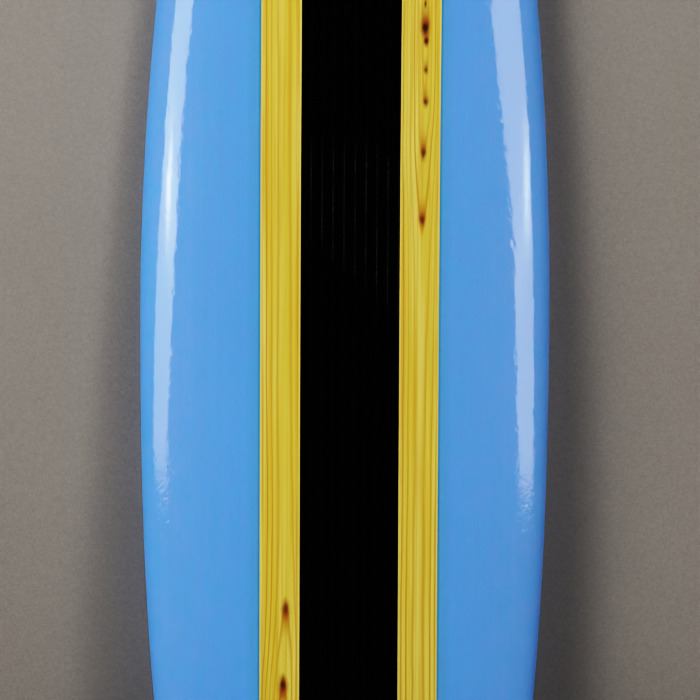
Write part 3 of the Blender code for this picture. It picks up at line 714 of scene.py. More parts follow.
def clear_back(name):
    """The skin's inner face, bonded to the foam: it neither mirrors nor shades."""
    t = Material(name)
    colour = t.mix(t.noise(30.0), (0.99, 0.99, 0.99, 1), (1, 1, 1, 1))
    return t.finish(t.value("BsdfTransparent", {"Color": colour}))


# ------------------------------------------------------------------ fittings' materials
BLACK = (0.034, 0.034, 0.036)


def moulded(name, rough):
    """Black moulded plastic with a fine spark-eroded grain."""
    t = Material(name)
    fine = t.noise(1500.0, detail=3.0, rough=0.6)
    col = t.mix(t.noise(60.0), toned(BLACK, 0.85), toned(BLACK, 1.2))
    return t.principled(col, (rough - 0.05) + fine * 0.12, t.bump(fine, distance=0.00006))


def fin_plastic(name):
    """Glass-filled nylon: faint stretched flow lines and a fine surface grain."""
    t = Material(name)
    flow = t.noise(stretch=(40.0, 9.0, 120.0), detail=3.0, rough=0.6, distortion=0.6)
    fine = t.noise(1300.0, detail=3.0, rough=0.6)
    col = t.mix(flow, (0.034, 0.034, 0.036, 1), (0.066, 0.066, 0.070, 1))
    rough = (0.24 + flow * 0.10) + fine * 0.08
    bump = t.bump(fine * 0.3 + flow * 0.4, distance=0.00007)
    return t.principled(col, rough, bump, coat=0.15)


def metal(name, colour, rough, stretch=(60.0, 900.0, 60.0)):
    """Turned or drawn metal; its tool lines are closest along the most stretched axis."""
    t = Material(name)
    lines = t.noise(stretch=stretch, detail=3.0, rough=0.6)
    fine = t.noise(900.0)
    col = t.mix(lines, toned(colour, 0.82), toned(colour, 1.1))
    bump = t.bump(lines + fine * 0.3, distance=0.00002)
    return t.principled(col, rough + lines * 0.14, bump, metallic=1.0)


def rubber(name):
    t = Material(name)
    fine = t.noise(2200.0, detail=3.0, rough=0.6)
    col = t.mix(fine, (0.010, 0.010, 0.010, 1), (0.022, 0.022, 0.021, 1))
    return t.principled(col, 0.62 + fine * 0.2, t.bump(fine, distance=0.00005))


# ------------------------------------------------------------------ core members
RING = [math.pi * k / DECK_SEGS for k in range(DECK_SEGS)] + [
    math.pi + math.pi * k / BOTTOM_SEGS for k in range(BOTTOM_SEGS)
]


def core_mesh():
    """The whole core, closed to a point at each tip."""
    bm = bmesh.new()

    def vertex(share, angle):
        return bm.verts.new(surface(share, angle, CORE_INSET, CORE_END))

    rows = [[vertex(share, angle) for angle in RING] for share in SHARES[1:-1]]
    bridge(bm, rows)
    tail = vertex(0.0, 0.0)
    nose = vertex(1.0, 0.0)
    n = len(RING)
    for i in range(n):
        j = (i + 1) % n
        bm.faces.new((tail, rows[0][j], rows[0][i]))
        bm.faces.new((nose, rows[-1][i], rows[-1][j]))
    return bm


def core_member(name, x_low, x_high):
    """The part of the core between two planes; None leaves a side uncut."""
    bm = core_mesh()
    for x, away in ((x_low, -1.0), (x_high, 1.0)):
        if x is None:
            continue
        found = bmesh.ops.bisect_plane(
            bm,
            geom=list(bm.verts) + list(bm.edges) + list(bm.faces),
            dist=1e-7,
            plane_co=(x, 0, 0),
            plane_no=(away, 0, 0),
            clear_outer=True,
        )
        edges = [e for e in found["geom_cut"] if isinstance(e, bmesh.types.BMEdge)]
        made = bmesh.ops.contextual_create(bm, geom=edges)["faces"]
        bmesh.ops.triangulate(bm, faces=made)
    return new_object(name, bm, 40)


rail_left = core_member("blue_rail_left", None, -EDGE_OUT - JOINT)
pine_left = core_member("pine_strip_left", -EDGE_OUT + JOINT, -EDGE_IN - JOINT)
centre = core_member("black_centre", -EDGE_IN + JOINT, EDGE_IN - JOINT)
pine_right = core_member("pine_strip_right", EDGE_IN + JOINT, EDGE_OUT - JOINT)
rail_right = core_member("blue_rail_right", EDGE_OUT + JOINT, None)


# ------------------------------------------------------------------ clear skins
def skin(name, columns, inset=0.0):
    """A shell over some columns of the hull; inset draws its border in."""
    bm = bmesh.new()

    def vertex(share, angle, depth):
        p = surface(share, angle, depth, depth + 2 * inset)
        if inset:
            border = abs(surface(share, columns[0], depth, depth).x)
            p.x *= max(0.0, border - inset) / max(border, 1e-6)
            if share in (0.0, 1.0):
                p.y += 3 * inset
        return bm.verts.new(p)

    def sheet(depth):
        rows = [[vertex(share, a, depth) for a in columns] for share in SHARES[1:-1]]
        return rows, vertex(0.0, 0.0, depth), vertex(1.0, 0.0, depth)

    def face(corners, flip, slot):
        bm.faces.new(corners[::-1] if flip else corners).material_index = slot

    outer, inner = sheet(0.0), sheet(SKIN)
    last = len(columns) - 1
    for (rows, tail, nose), inside in ((outer, False), (inner, True)):
        for a, b in zip(rows, rows[1:]):
            for i in range(last):
                face((a[i], a[i + 1], b[i + 1], b[i]), inside, int(inside))
        for i in range(last):
            face((tail, rows[0][i + 1], rows[0][i]), inside, int(inside))
            face((nose, rows[-1][i], rows[-1][i + 1]), inside, int(inside))
    # the border between the two sheets
    for i in (0, last):
        o, k = (
            [tail] + [row[i] for row in rows] + [nose] for rows, tail, nose in (outer, inner)
        )
        for a in range(len(o) - 1):
            face((o[a], o[a + 1], k[a + 1], k[a]), i == 0, 1)
    obj = new_object(name, bm, 60)
    obj.data.materials.append(clear_coat(name + "_clear"))
    obj.data.materials.append(clear_back(name + "_inside"))
    return obj


deck_columns = (
    [-(math.pi * k / BOTTOM_SEGS) for k in range(LAP, 0, -1)]
    + [math.pi * k / DECK_SEGS for k in range(DECK_SEGS + 1)]
    + [math.pi + math.pi * k / BOTTOM_SEGS for k in range(1, LAP + 1)]
)
bottom_columns = [
    math.pi + math.pi * k / BOTTOM_SEGS for k in range(LAP, BOTTOM_SEGS - LAP + 1)
]
deck_skin = skin("deck_gloss", deck_columns)
bottom_skin = skin("bottom_gloss", bottom_columns, inset=0.0001)

done(rail_left, "board", "foam_rail_left", blue_foam("blue_foam_left"))
done(rail_right, "board", "foam_rail_right", blue_foam("blue_foam_right"))
done(centre, "board", "foam_centre", black_foam("black_foam"))
done(
    pine_right,
    "board",
    "pine_stringer_right",
    pine("pine_right", RIGHT_PITH, RIGHT_DEPTH, RIGHT_PINS, up=1.0, phase=0.80),
)
done(
    pine_left,
    "board",
    "pine_stringer_left",
    pine("pine_left", LEFT_PITH, LEFT_DEPTH, LEFT_PINS, up=-1.0, phase=0.90),
)
register(deck_skin, "board", "deck_lamination")
register(bottom_skin, "board", "bottom_lamination")

# ------------------------------------------------------------------ centre fin box
BOX_Z = 0.270
BOX_L, BOX_W, BOX_D = 0.268, 0.0220, 0.0254
FLANGE_L, FLANGE_W, FLANGE_T = 0.274, 0.0254, 0.0030
SLOT_L, SLOT_W, SLOT_D = 0.250, 0.0096, 0.0230
GROOVE_W, GROOVE_TOP, GROOVE_BOTTOM = 0.0168, 0.0090, 0.0134  # depths below the bottom
GROOVE_END = SLOT_L / 2 - 0.004
GATE_L = 0.0200  # the opening into the grooves at the middle
SLOT_ABOVE = 0.01

box_frame = bottom_frame(0.0, BOX_Z)


def flanged_body(bm):
    body, flange = stadium(BOX_L, BOX_W), stadium(FLANGE_L, FLANGE_W)
    levels = ((body, -BOX_D), (body, -FLANGE_T), (flange, -FLANGE_T), (flange, 0.0))
    loft(bm, [layer(outline, y) for outline, y in levels])


def centre_fin_box():
    carve(centre, box_frame, prism, pocket_outline(BOX_L, BOX_W), -BOX_D - GAP, ABOVE)
    flange = pocket_outline(FLANGE_L, FLANGE_W)
    pocket = cutter(box_frame, prism, flange, -FLANGE_T - GAP, ABOVE)
    cut(centre, pocket)
    cut(bottom_skin, pocket)
    box = piece("long_fin_box", box_frame, flanged_body)
    carve(box, box_frame, prism, stadium(SLOT_L, SLOT_W), -SLOT_D, SLOT_ABOVE)
    half = GROOVE_W / 2
    carve(box, box_frame, block, half, -GROOVE_BOTTOM, -GROOVE_TOP, -GROOVE_END, GROOVE_END)
    gate_low = -GROOVE_TOP - 0.002
    carve(box, box_frame, block, half, gate_low, SLOT_ABOVE, -GATE_L / 2, GATE_L / 2)
    soften(box, 0.00035)
    done(box, "board", "centre_fin_box", moulded("long_box_plastic", rough=0.45))


centre_fin_box()

# ------------------------------------------------------------------ centre fin
FIN_BASE, FIN_TAB, FIN_DEPTH, FIN_THICK = 0.150, 0.025, 0.190, 0.0086
FIN_REST = -0.0125  # where the fin sits along the box
FIN_HALF = FIN_BASE / 2
TAB_LOW, TAB_HIGH = -0.0088, -0.0050
BLADE_ROOT = -0.003
PIN_Z = -FIN_HALF + 0.009
SCREW_Z = FIN_HALF + 0.0145

# The fin's root in the slot, seen from the side: z, y.
TONGUE = [
    (-FIN_HALF, -SLOT_D + 0.0005),
    (FIN_HALF, -SLOT_D + 0.0005),
    (FIN_HALF, TAB_LOW),
    (FIN_HALF + FIN_TAB, TAB_LOW),
    (FIN_HALF + FIN_TAB, TAB_HIGH),
    (FIN_HALF, TAB_HIGH),
    (FIN_HALF, 0.0008),
    (-FIN_HALF, 0.0008),
]
# Turned profiles: radius, y.
PIN_PROFILE = [(0.0016, -0.0080), (0.0019, -0.0077), (0.0019, 0.0077), (0.0016, 0.0080)]
FIN_SCREW_PROFILE = [
    (0.0016, -0.0200), (0.0021, -0.0190), (0.0021, -0.0046), (0.0038, -0.0046),
    (0.0040, -0.0044), (0.0040, -0.0030), (0.0038, -0.0024), (0.0034, -0.0019),
    (0.0027, -0.0016),
]

fin_frame = box_frame @ Matrix.Translation((0, 0, FIN_REST))
cross_pin_axis = Matrix.Translation(
    (0, -(GROOVE_TOP + GROOVE_BOTTOM) / 2, PIN_Z)
) @ Matrix.Rotation(math.pi / 2, 4, "Z")
screw_axis = Matrix.Translation((0, 0, SCREW_Z))


def foil(c):
    """Half thickness of the fin's section at share c of the chord, 1 at its thickest."""
    y = 2.969 * math.sqrt(c) - 1.26 * c - 3.516 * c**2 + 2.843 * c**3 - 1.036 * c**4
    return y / 1.0006


def blade(bm, depth, lead, trail, thick, flat=0, steps=60, points=26):
    """A fin along +Y. lead and trail give its edges' z against the share of the depth.

    flat is 1 or -1 for a flattened face on the +X or the -X side, 0 for none.
    """
    sections = []
    for j in range(points + 1):
        c = 0.5 * (1 - math.cos(math.pi * j / points))
        sections.append((c, foil(c) + 0.03 * c))
    plus = 1.0 if flat <= 0 else 0.30
    minus = -1.0 if flat >= 0 else -0.30
    outline = [(c, h * plus) for c, h in sections]
    outline += [(c, h * minus) for c, h in sections[-1:0:-1]]
    rings = []
    for k in range(steps + 1):
        share = k / steps
        share = share + 0.25 * share * (1 - share)
        y = BLADE_ROOT + (depth - BLADE_ROOT) * share
        z_lead, z_trail = lead(share), trail(share)
        # the last fiftieth rounds off to a thin rim
        rim = min(1.0, math.sqrt(max(0.0, (1.0 - share) / 0.02)) + 0.47)
        half = thick * (1.0 - 0.74 * share) / 2 * rim
        rings.append([Vector((half * h, y, z_lead + (z_trail - z_lead) * c)) for c, h in outline])
    loft(bm, rings)


def centre_lead(s):
    return 0.0735 - 0.176 * s**1.7


def centre_trail(s):
    return -0.0735 - 0.046 * s**1.3 + 0.012 * math.sin(math.pi * s)


def tongue(bm):
    half = SLOT_W / 2 - GAP
    loft(bm, [[Vector((x, y, z)) for z, y in TONGUE] for x in (-half, half)])


def centre_fin():
    fin = piece("long_fin", fin_frame, tongue)
    shape = cutter(fin_frame, blade, FIN_DEPTH, centre_lead, centre_trail, FIN_THICK)
    cut(fin, shape, "UNION")
    carve(fin, fin_frame, cylinder, 0.0023, -0.02, 0.02, 40, cross_pin_axis)
    carve(fin, fin_frame, cylinder, 0.0026, -0.012, -0.001, 40, screw_axis)
    done(fin, "centre_fin_unit", "centre_fin", fin_plastic("long_fin_nylon"))


def cross_pin():
    pin = piece("cross_pin", fin_frame, turned, PIN_PROFILE, 40, cross_pin_axis)
    brass = metal("pin_brass", (0.72, 0.50, 0.18), rough=0.22)
    done(pin, "centre_fin_unit", "centre_fin_pin", brass)


def slide_plate():
    ends = SCREW_Z - 0.006, SCREW_Z + 0.006
    plate = piece("slide_plate", fin_frame, block, 0.0080, -0.0126, -0.0094, *ends)
    carve(plate, fin_frame, cylinder, 0.0025, -0.02, 0.0, 40, screw_axis)
    soften(plate, 0.0003)
    steel = metal("plate_steel", (0.55, 0.55, 0.54), rough=0.25, stretch=(700.0, 60.0, 60.0))
    done(plate, "centre_fin_unit", "centre_fin_plate", steel)


def fin_screw():
    frame = fin_frame @ screw_axis
    screw = piece("fin_screw", frame, turned, FIN_SCREW_PROFILE)
    carve(screw, frame, block, 0.0006, -0.0030, 0.002, -0.006, 0.006)
    steel = metal("screw_steel", (0.60, 0.60, 0.59), rough=0.20)
    done(screw, "centre_fin_screw", "centre_fin_screw", steel)


centre_fin()
cross_pin()
slide_plate()
fin_screw()

# ------------------------------------------------------------------ side fins
SIDE_Z, SIDE_X, TOE_DEG = 0.360, 0.166, 3.0
SIDE_W, SIDE_D = 0.0150, 0.0190
SIDE_REAR, SIDE_FRONT = -0.062, 0.070  # the box's ends along its frame's Z
SIDE_L, SIDE_MIDDLE = SIDE_FRONT - SIDE_REAR, (SIDE_FRONT + SIDE_REAR) / 2
SIDE_SLOT_W, SIDE_SLOT_D = 0.0072, 0.0160
SIDE_SLOT_REAR, SIDE_SLOT_FRONT = -0.056, 0.050
SIDE_FIN_DEPTH = 0.105
SIDE_FIN_THICK = SIDE_SLOT_W - 0.0010
GRUB_PROFILE = [  # radius, y
    (0.0014, -0.0115), (0.0023, -0.0108), (0.0024, -0.0105), (0.0024, -0.0028),
    (0.0022, -0.0025),
]
# the grub screw leans at the nose end of the slot
grub_tilt = Matrix.Translation((0, 0, 0.060)) @ Matrix.Rotation(math.radians(45), 4, "X")


def side_lead(s):
    return 0.0485 - 0.088 * s**1.6


def side_trail(s):
    return -0.0545 - 0.010 * s + 0.006 * math.sin(math.pi * s)


def side_box(side, frame, rail):
    outline = pocket_outline(SIDE_L, SIDE_W, SIDE_MIDDLE)
    pocket = cutter(frame, prism, outline, -SIDE_D - GAP, ABOVE)
    cut(rail, pocket)
    cut(bottom_skin, pocket)
    outline = stadium(SIDE_L, SIDE_W, SIDE_MIDDLE)
    box = piece("side_box_" + side, frame, prism, outline, -SIDE_D, 0.0)
    slot = SIDE_SLOT_W / 2, -SIDE_SLOT_D, SLOT_ABOVE, SIDE_SLOT_REAR, SIDE_SLOT_FRONT
    carve(box, frame, block, *slot)
    carve(box, frame, cylinder, 0.0028, -0.0145, 0.012, 40, grub_tilt)
    soften(box, 0.00025)
    plastic = moulded("side_box_plastic_" + side, rough=0.45)
    done(box, "board", "side_fin_box_" + side, plastic)


def side_fin(side, sign, frame):
    """The face towards the board's middle is the flattened one."""
    root = SIDE_SLOT_W / 2 - GAP, -SIDE_SLOT_D + GAP, 0.0006
    ends = SIDE_SLOT_REAR + GAP, SIDE_SLOT_FRONT - GAP
    fin = piece("side_blade_" + side, frame, block, *root, *ends)
    shape = cutter(
        frame,
        blade,
        SIDE_FIN_DEPTH,
        side_lead,
        side_trail,
        SIDE_FIN_THICK,
        flat=-sign,
        steps=44,
        points=22,
    )
    cut(fin, shape, "UNION")
    done(fin, "side_fin_" + side, "side_fin_" + side, fin_plastic("side_nylon_" + side))


def grub_screw(side, frame):
    """A grub screw with a six-sided socket."""
    tilted = frame @ grub_tilt
    screw = piece("grub_screw_" + side, tilted, turned, GRUB_PROFILE, 48)
    carve(screw, tilted, cylinder, 0.00145, -0.0058, 0.0, 6)
    name = "side_fin_screw_" + side
    done(screw, name, name, metal("grub_steel_" + side, (0.58, 0.58, 0.57), rough=0.22))


for side, sign, rail in (("left", -1.0, rail_left), ("right", 1.0, rail_right)):
    side_frame = bottom_frame(sign * SIDE_X, SIDE_Z, sign * TOE_DEG)
    side_box(side, side_frame, rail)
    side_fin(side, sign, side_frame)
    grub_screw(side, side_frame)

# ------------------------------------------------------------------ leash plug
LEASH_Z, LEASH_R, LEASH_D = 0.085, 0.0140, 0.0180
LEASH_RIM_R, LEASH_RIM_T = 0.0160, 0.0020
LEASH_BORE_R, LEASH_FLOOR = 0.0110, 0.003
BAR_R, BAR_HALF, BAR_EDGE = 0.0020, 0.0125, 0.0003
BELOW_DECK = -0.008  # the deck cutters start this far outside the deck
CUP_PROFILE = [  # radius, y
    (LEASH_RIM_R, 0.0),
    (LEASH_RIM_R, LEASH_RIM_T),
    (LEASH_R, LEASH_RIM_T),
    (LEASH_R, LEASH_D - 0.001),
    (LEASH_R - 0.001, LEASH_D),
]
BAR_PROFILE = [  # radius, y
    (BAR_R - BAR_EDGE, -BAR_HALF),
    (BAR_R, -BAR_HALF + BAR_EDGE),
    (BAR_R, BAR_HALF - BAR_EDGE),
    (BAR_R - BAR_EDGE, BAR_HALF),
]

leash_frame = deck_frame(LEASH_Z)
bar_axis = Matrix.Translation((0, 0.0060, 0)) @ Matrix.Rotation(math.pi / 2, 4, "Z")


def deck_pocket(frame, radius, depth, segs, rim_radius, rim_depth, rim_segs):
    """A stepped round pocket in the core; the skin takes only its rim."""
    carve(centre, frame, cylinder, radius + GAP, BELOW_DECK, depth + GAP, segs)
    rim = cutter(frame, cylinder, rim_radius + GAP, BELOW_DECK, rim_depth + GAP, rim_segs)
    cut(centre, rim)
    cut(deck_skin, rim)


def leash_cup():
    deck_pocket(leash_frame, LEASH_R, LEASH_D, 64, LEASH_RIM_R, LEASH_RIM_T, 80)
    cup = piece("leash_cup", leash_frame, turned, CUP_PROFILE, 80)
    carve(cup, leash_frame, cylinder, LEASH_BORE_R, -0.005, LEASH_D - LEASH_FLOOR, 72)
    half = BAR_HALF + GAP
    carve(cup, leash_frame, cylinder, BAR_R + GAP, -half, half, 40, bar_axis)
    soften(cup, 0.00035, 3)
    done(cup, "board", "leash_plug_cup", moulded("cup_plastic", rough=0.40))


def leash_bar():
    bar = piece("leash_bar", leash_frame, turned, BAR_PROFILE, 48, bar_axis)
    steel = metal("bar_steel", (0.62, 0.62, 0.61), rough=0.16, stretch=(60.0, 60.0, 900.0))
    done(bar, "board", "leash_plug_bar", steel)


leash_cup()
leash_bar()

# ------------------------------------------------------------------ vent
VENT_Z, VENT_R, VENT_D = 0.455, 0.0070, 0.0160
VENT_RIM_R, VENT_RIM_T = 0.0100, 0.0030
SEAL_R, SEAL_WIRE_R, SEAL_Y = 0.0058, 0.0005, 0.0019
VENT_PROFILE = [  # radius, y
    (VENT_RIM_R, 0.0),
    (VENT_RIM_R, VENT_RIM_T),
    (VENT_R, VENT_RIM_T),
    (VENT_R, VENT_D),
]
VENT_SCREW_PROFILE = [  # radius, y
    (0.0052, 0.0002), (0.0064, 0.0003), (0.0070, 0.0005), (0.0072, 0.0008),
    (0.0072, 0.0012), (0.0040, 0.0012), (0.0040, 0.0110), (0.0034, 0.0116),
]

vent_frame = deck_frame(VENT_Z)


def vent_shell():
    deck_pocket(vent_frame, VENT_R, VENT_D, 48, VENT_RIM_R, VENT_RIM_T, 64)
    shell = piece("vent_shell", vent_frame, turned, VENT_PROFILE)
    carve(shell, vent_frame, cylinder, 0.0045, -0.005, VENT_D + 0.002, 48)
    carve(shell, vent_frame, cylinder, 0.0080, -0.005, 0.0026, 56)
    soften(shell, 0.00025)
    done(shell, "board", "vent_body", moulded("vent_plastic", rough=0.40))


def vent_screw():
    screw = piece("vent_plug_screw", vent_frame, turned, VENT_SCREW_PROFILE)
    carve(screw, vent_frame, block, 0.0006, -0.002, 0.0009, -0.0048, 0.0048)
    carve(screw, vent_frame, cylinder, 0.0014, 0.0030, 0.0130, 24)
    steel = metal("vent_steel", (0.58, 0.58, 0.57), rough=0.22, stretch=(900.0, 60.0, 60.0))
    done(screw, "vent_screw", "vent_screw", steel)


def torus(bm, segs=72, wire_segs=16):
    rows = []
    for i in range(segs):
        a = 2 * math.pi * i / segs
        row = []
        for j in range(wire_segs):
            q = 2 * math.pi * j / wire_segs
            r = SEAL_R + SEAL_WIRE_R * math.cos(q)
            y = SEAL_Y + SEAL_WIRE_R * math.sin(q)
            row.append(bm.verts.new((r * math.cos(a), y, r * math.sin(a))))
        rows.append(row)
    bridge(bm, rows + rows[:1])


vent_shell()
vent_screw()
done(piece("vent_o_ring", vent_frame, torus), "board", "vent_seal", rubber("o_ring_rubber"))

for obj in cutters:
    bpy.data.objects.remove(obj, do_unlink=True)

# ------------------------------------------------------------------ backdrop and floor
# The board leans on the backdrop, so seen from the board the backdrop slopes away towards
# the floor, and a little towards +X. Below the knee it slopes more, clear of the fins.
WALL_Y, WALL_Z, WALL_DOWN, WALL_SIDE = 0.026, 1.12, 0.083, 0.0715
KNEE_Z, KNEE_DOWN = 0.62, 0.24
WALL_HALF = 9
WALL_HEIGHTS = [-0.004, 0.30, 0.56, 0.60, 0.64, 0.70, 1.2, 3.0, 6.0]
FLOOR_HALF, FLOOR_Z = 90, -0.002


def wall_point(x, z):
    y = WALL_Y + WALL_SIDE * x + WALL_DOWN * (WALL_Z - max(z, KNEE_Z))
    return (x, y + KNEE_DOWN * max(KNEE_Z - z, 0.0), z)


def sheet_object(name, rows):
    bm = bmesh.new()
    bridge(bm, [[bm.verts.new(p) for p in row] for row in rows], closed=False)
    mesh = bpy.data.meshes.new(name)
    bm.to_mesh(mesh)
    bm.free()
    obj = bpy.data.objects.new(name, mesh)
    bpy.context.scene.collection.objects.link(obj)
    return obj


def backdrop_paint(name):
    t = Material(name)
    x, y, z = t.xyz()
    mottle = t.noise(2.2, detail=3.0, rough=0.55)
    grain = t.noise(420.0, detail=3.0, rough=0.75)
    weave = t.noise(150.0)
    col = t.mix(mottle, lin(148, 144, 139), lin(156, 151, 146))
    shade = 0.71 + (grain * 0.44 + weave * 0.14)
    # painted light: the backdrop's colour is lighter low down on the +X side, where the lamps
    # leave it darker
    painted_light_low_right = t.step(x, 0.29, 0.40) * t.step(z, 0.748219, 1.185283, first=0.11, last=0.0)
    col = t.dim(col, shade * (1.0 + painted_light_low_right))
    bump = t.bump(grain, distance=0.0003)
    paint = t.value("BsdfDiffuse", {"Color": col, "Normal": bump})
    clear = t.value("BsdfTransparent")
    geometry = t.outputs("NewGeometry")
    path = t.outputs("LightPath")
    sides = {0: geometry["Incoming"], 1: geometry["True Normal"]}
    facing = t.value("VectorMath", sides, output="Value", operation="DOT_PRODUCT")
    # seen edge-on or from behind, the backdrop is out of the way, and it casts no shadow
    edge_on = t.math("LESS_THAN", facing, 0.42) * path["Is Camera Ray"]
    hide = t.math("MAXIMUM", geometry["Backfacing"], path["Is Shadow Ray"])
    hide = t.math("MAXIMUM", hide, edge_on)
    return t.finish(t.mix_shader(hide, paint, clear))


def floor_paint(name):
    t = Material(name)
    mottle = t.noise(1.6, detail=4.0, rough=0.6)
    grain = t.noise(180.0, detail=3.0, rough=0.6)
    col = t.mix(mottle, lin(150, 148, 144), lin(160, 158, 153))
    # the far floor is out of the lamps' reach, so it carries an even glow
    glow = t.mix(1.0, col, (0.98, 0.98, 0.98, 1), "MULTIPLY")
    bump = t.bump(grain, distance=0.0003)
    return t.principled(col, 0.55 + grain * 0.2, bump, glow=glow)


wall_rows = [[wall_point(x, z) for x in (-WALL_HALF, WALL_HALF)] for z in WALL_HEIGHTS]
wall = sheet_object("backdrop", wall_rows)
wall.data.shade_smooth()
wall.data.materials.append(backdrop_paint("backdrop_paint"))

floor_ends = (-FLOOR_HALF, FLOOR_HALF)
floor = sheet_object("floor", [[(x, y, FLOOR_Z) for x in floor_ends] for y in floor_ends])
floor.visible_glossy = False
floor.visible_diffuse = False
floor.data.materials.append(floor_paint("floor_paint"))


# ------------------------------------------------------------------ lamps
def lamp_pattern(
    g, width, height, lean, half_width, widen, end, slope, offset, swell, fade, spots
):
    """Strength over a lamp's face: a narrowed bright part with hotter places.

    The bright part has a half width, which grows by widen per metre upwards. Its lower
    end is at level end, with a slope. Its middle line is moved by offset and by a swell
    (size, height, half length). fade is the gain per metre upwards. Each of the spots is
    (gain, side, height, half width, half height).
    """

    def bell(r2):
        return g.math("POWER", 2.718, r2 * -1.0)

    def square(value, middle, half):
        d = (value - middle) / half
        return d * d

    place = g.outputs("NewGeometry")["Parametric"]
    across, along, _ = g.outputs("SeparateXYZ", {0: place}).values()
    u = (across - 0.5) * width
    v = (along - 0.5) * height
    level = v * math.cos(lean) + u * (slope - math.sin(lean))
    size, swell_v, swell_half = swell
    u = (u - offset) - bell(square(v, swell_v, swell_half)) * size
    inside = (half_width + v * widen) - abs(u)
    strength = 1.0 + v * fade
    for gain, spot_u, spot_v, half_u, half_v in spots:
        r2 = square(u, spot_u, half_u) + square(v, spot_v, half_v)
        strength = strength + bell(r2) * gain
    strength = strength * g.step(inside, -0.01, 0.03)
    return strength * g.step(level - end, 0.0, 0.03)


def softbox(name, at, aim, width, height, radiance, lean_deg=0.0, pattern=None):
    """A soft rectangular lamp, leaning about the line to its aim."""
    data = bpy.data.lights.new(name, "AREA")
    data.shape = "RECTANGLE"
    data.size = width
    data.size_y = height
    data.energy = math.pi * width * height * radiance
    lean = math.radians(lean_deg)
    g = Graph(data)
    strength = lamp_pattern(g, width, height, lean, **pattern) if pattern else None
    glow = g.value("Emission", {"Color": (1, 1, 1, 1), "Strength": strength})
    g.node("OutputLight", {0: glow})
    obj = bpy.data.objects.new(name, data)
    bpy.context.scene.collection.objects.link(obj)
    away = (Vector(at) - Vector(aim)).normalized()
    side = Vector((0, 0, 1)).cross(away).normalized()
    upward = away.cross(side).normalized()
    y_axis = upward * math.cos(lean) + side * math.sin(lean)
    obj.matrix_world = axes(y_axis.cross(away).normalized(), y_axis, away, at)
    obj.visible_camera = False


# the two tall narrow lamps that the rails mirror
softbox(
    "strip_left",
    at=(-1.50, -1.95, 1.19),
    aim=(0.0, -0.08, 1.19),
    width=1.00,
    height=1.60,
    radiance=5.0,
    lean_deg=26.0,
    pattern=dict(
        half_width=0.315,
        widen=0.0,
        end=-0.515,
        slope=0.06,
        offset=-0.062,
        swell=(0.100, 0.04, 0.40),
        fade=0.33,
        spots=((0.50, 0.0, 0.19, 0.6, 0.15), (2.9, 0.015, 0.175, 0.078, 0.084)),
    ),
)
softbox(
    "strip_right",
    at=(1.74, -1.90, 1.16),
    aim=(0.0, -0.08, 1.16),
    width=1.00,
    height=1.60,
    radiance=4.6,
    lean_deg=-24.0,
    pattern=dict(
        half_width=0.345,
        widen=0.08,
        end=-0.545,
        slope=0.0,
        offset=0.055,
        swell=(0.068, 0.19, 0.20),
        fade=0.0,
        spots=((0.25, 0.0, 0.077, 0.6, 0.13), (1.55, 0.150, 0.077, 0.14, 0.093)),
    ),
)
# Broad lamps above them, and one on the far side for the bottom and the fins:
# name, place, aim, width, height, radiance.
for lamp in (
    ("high_left", (-2.20, -2.50, 2.95), (0.0, -0.08, 1.12), 2.4, 1.5, 6.7),
    ("high_right", (1.55, -2.75, 2.95), (0.0, -0.08, 1.12), 2.0, 1.5, 3.1),
    ("behind", (0.0, 3.40, 1.90), (0.0, 0.0, 1.0), 1.3, 2.4, 5.5),
):
    softbox(*lamp)


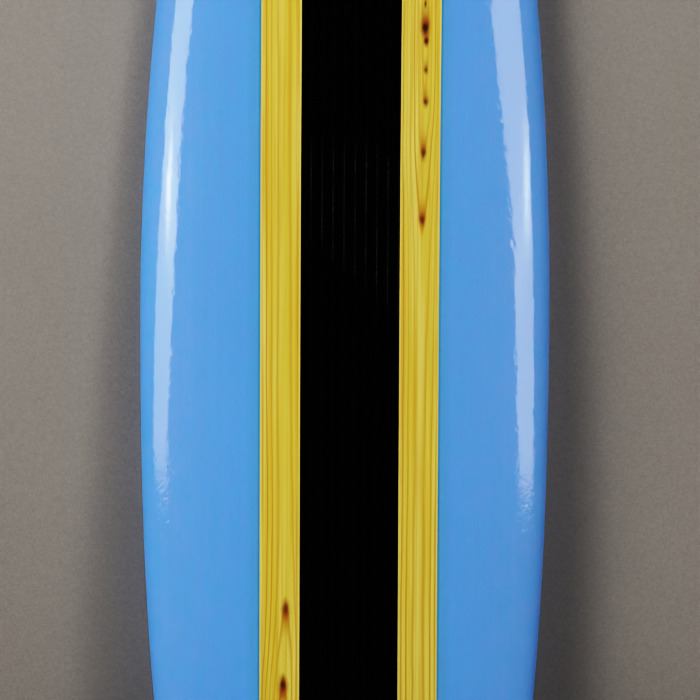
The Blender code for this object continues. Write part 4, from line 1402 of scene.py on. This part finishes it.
def studio_world():
    """A faint warm fill, black in mirrors, and grey where the camera sees it."""
    world = bpy.data.worlds.new("studio")
    bpy.context.scene.world = world
    g = Graph(world)
    fill, mirrored, seen = (
        g.value("Background", {"Color": colour, "Strength": strength})
        for colour, strength in (
            (lin(222, 184, 130), 0.03),
            ((1, 1, 1, 1), 0.0),
            (lin(155, 153, 148), 1.0),
        )
    )
    path = g.outputs("LightPath")
    unseen = g.mix_shader(path["Is Glossy Ray"], fill, mirrored)
    g.node("OutputWorld", {0: g.mix_shader(path["Is Camera Ray"], unseen, seen)})


studio_world()

# ------------------------------------------------------------------ camera
AZIMUTH, ELEVATION, ROLL = -0.1128, 0.0501, 0.0040  # radians
AIM, DISTANCE = Vector((0.0, -0.0799, 1.1214)), 3.0
SENSOR_MM, LENS_MM = 36.0, 120.975429


def add_camera():
    level = math.cos(ELEVATION)
    back = Vector(
        (math.sin(AZIMUTH) * level, -math.cos(AZIMUTH) * level, math.sin(ELEVATION))
    )
    forward = -back
    right = forward.cross(Vector((0, 0, 1))).normalized()
    up = right.cross(forward).normalized()
    x_axis = right * math.cos(ROLL) + up * math.sin(ROLL)
    y_axis = -right * math.sin(ROLL) + up * math.cos(ROLL)
    data = bpy.data.cameras.new("camera")
    data.sensor_width = SENSOR_MM
    data.lens = LENS_MM
    data.clip_start, data.clip_end = 0.05, 100.0
    camera = bpy.data.objects.new("camera", data)
    bpy.context.scene.collection.objects.link(camera)
    camera.matrix_world = axes(x_axis, y_axis, back, AIM + back * DISTANCE)
    bpy.context.scene.camera = camera


add_camera()

# ------------------------------------------------------------------ tone
# A camera's tone curve: deeper shadows, softly rolled-off highlights. Scene level, output.
TONE_WHITE = 1.6
TONE = (
    (0.0, 0.0), (0.05, 0.014), (0.10, 0.040), (0.156, 0.095), (0.20, 0.155),
    (0.258, 0.243), (0.35, 0.355), (0.50, 0.515), (0.745, 0.735), (1.0, 0.865),
    (1.3, 0.955), (1.6, 1.0),
)
view = bpy.context.scene.view_settings
view.view_transform = "Standard"
view.look = "None"
view.exposure = 0.0
view.gamma = 1.0
view.use_curve_mapping = True
tone = view.curve_mapping
tone.use_clip = False
tone.white_level = (TONE_WHITE, TONE_WHITE, TONE_WHITE)
tone_points = [(level / TONE_WHITE, output) for level, output in TONE]
set_points(tone, tone.curves[3], tone_points, "AUTO_CLAMPED")

bpy.context.view_layer.update()
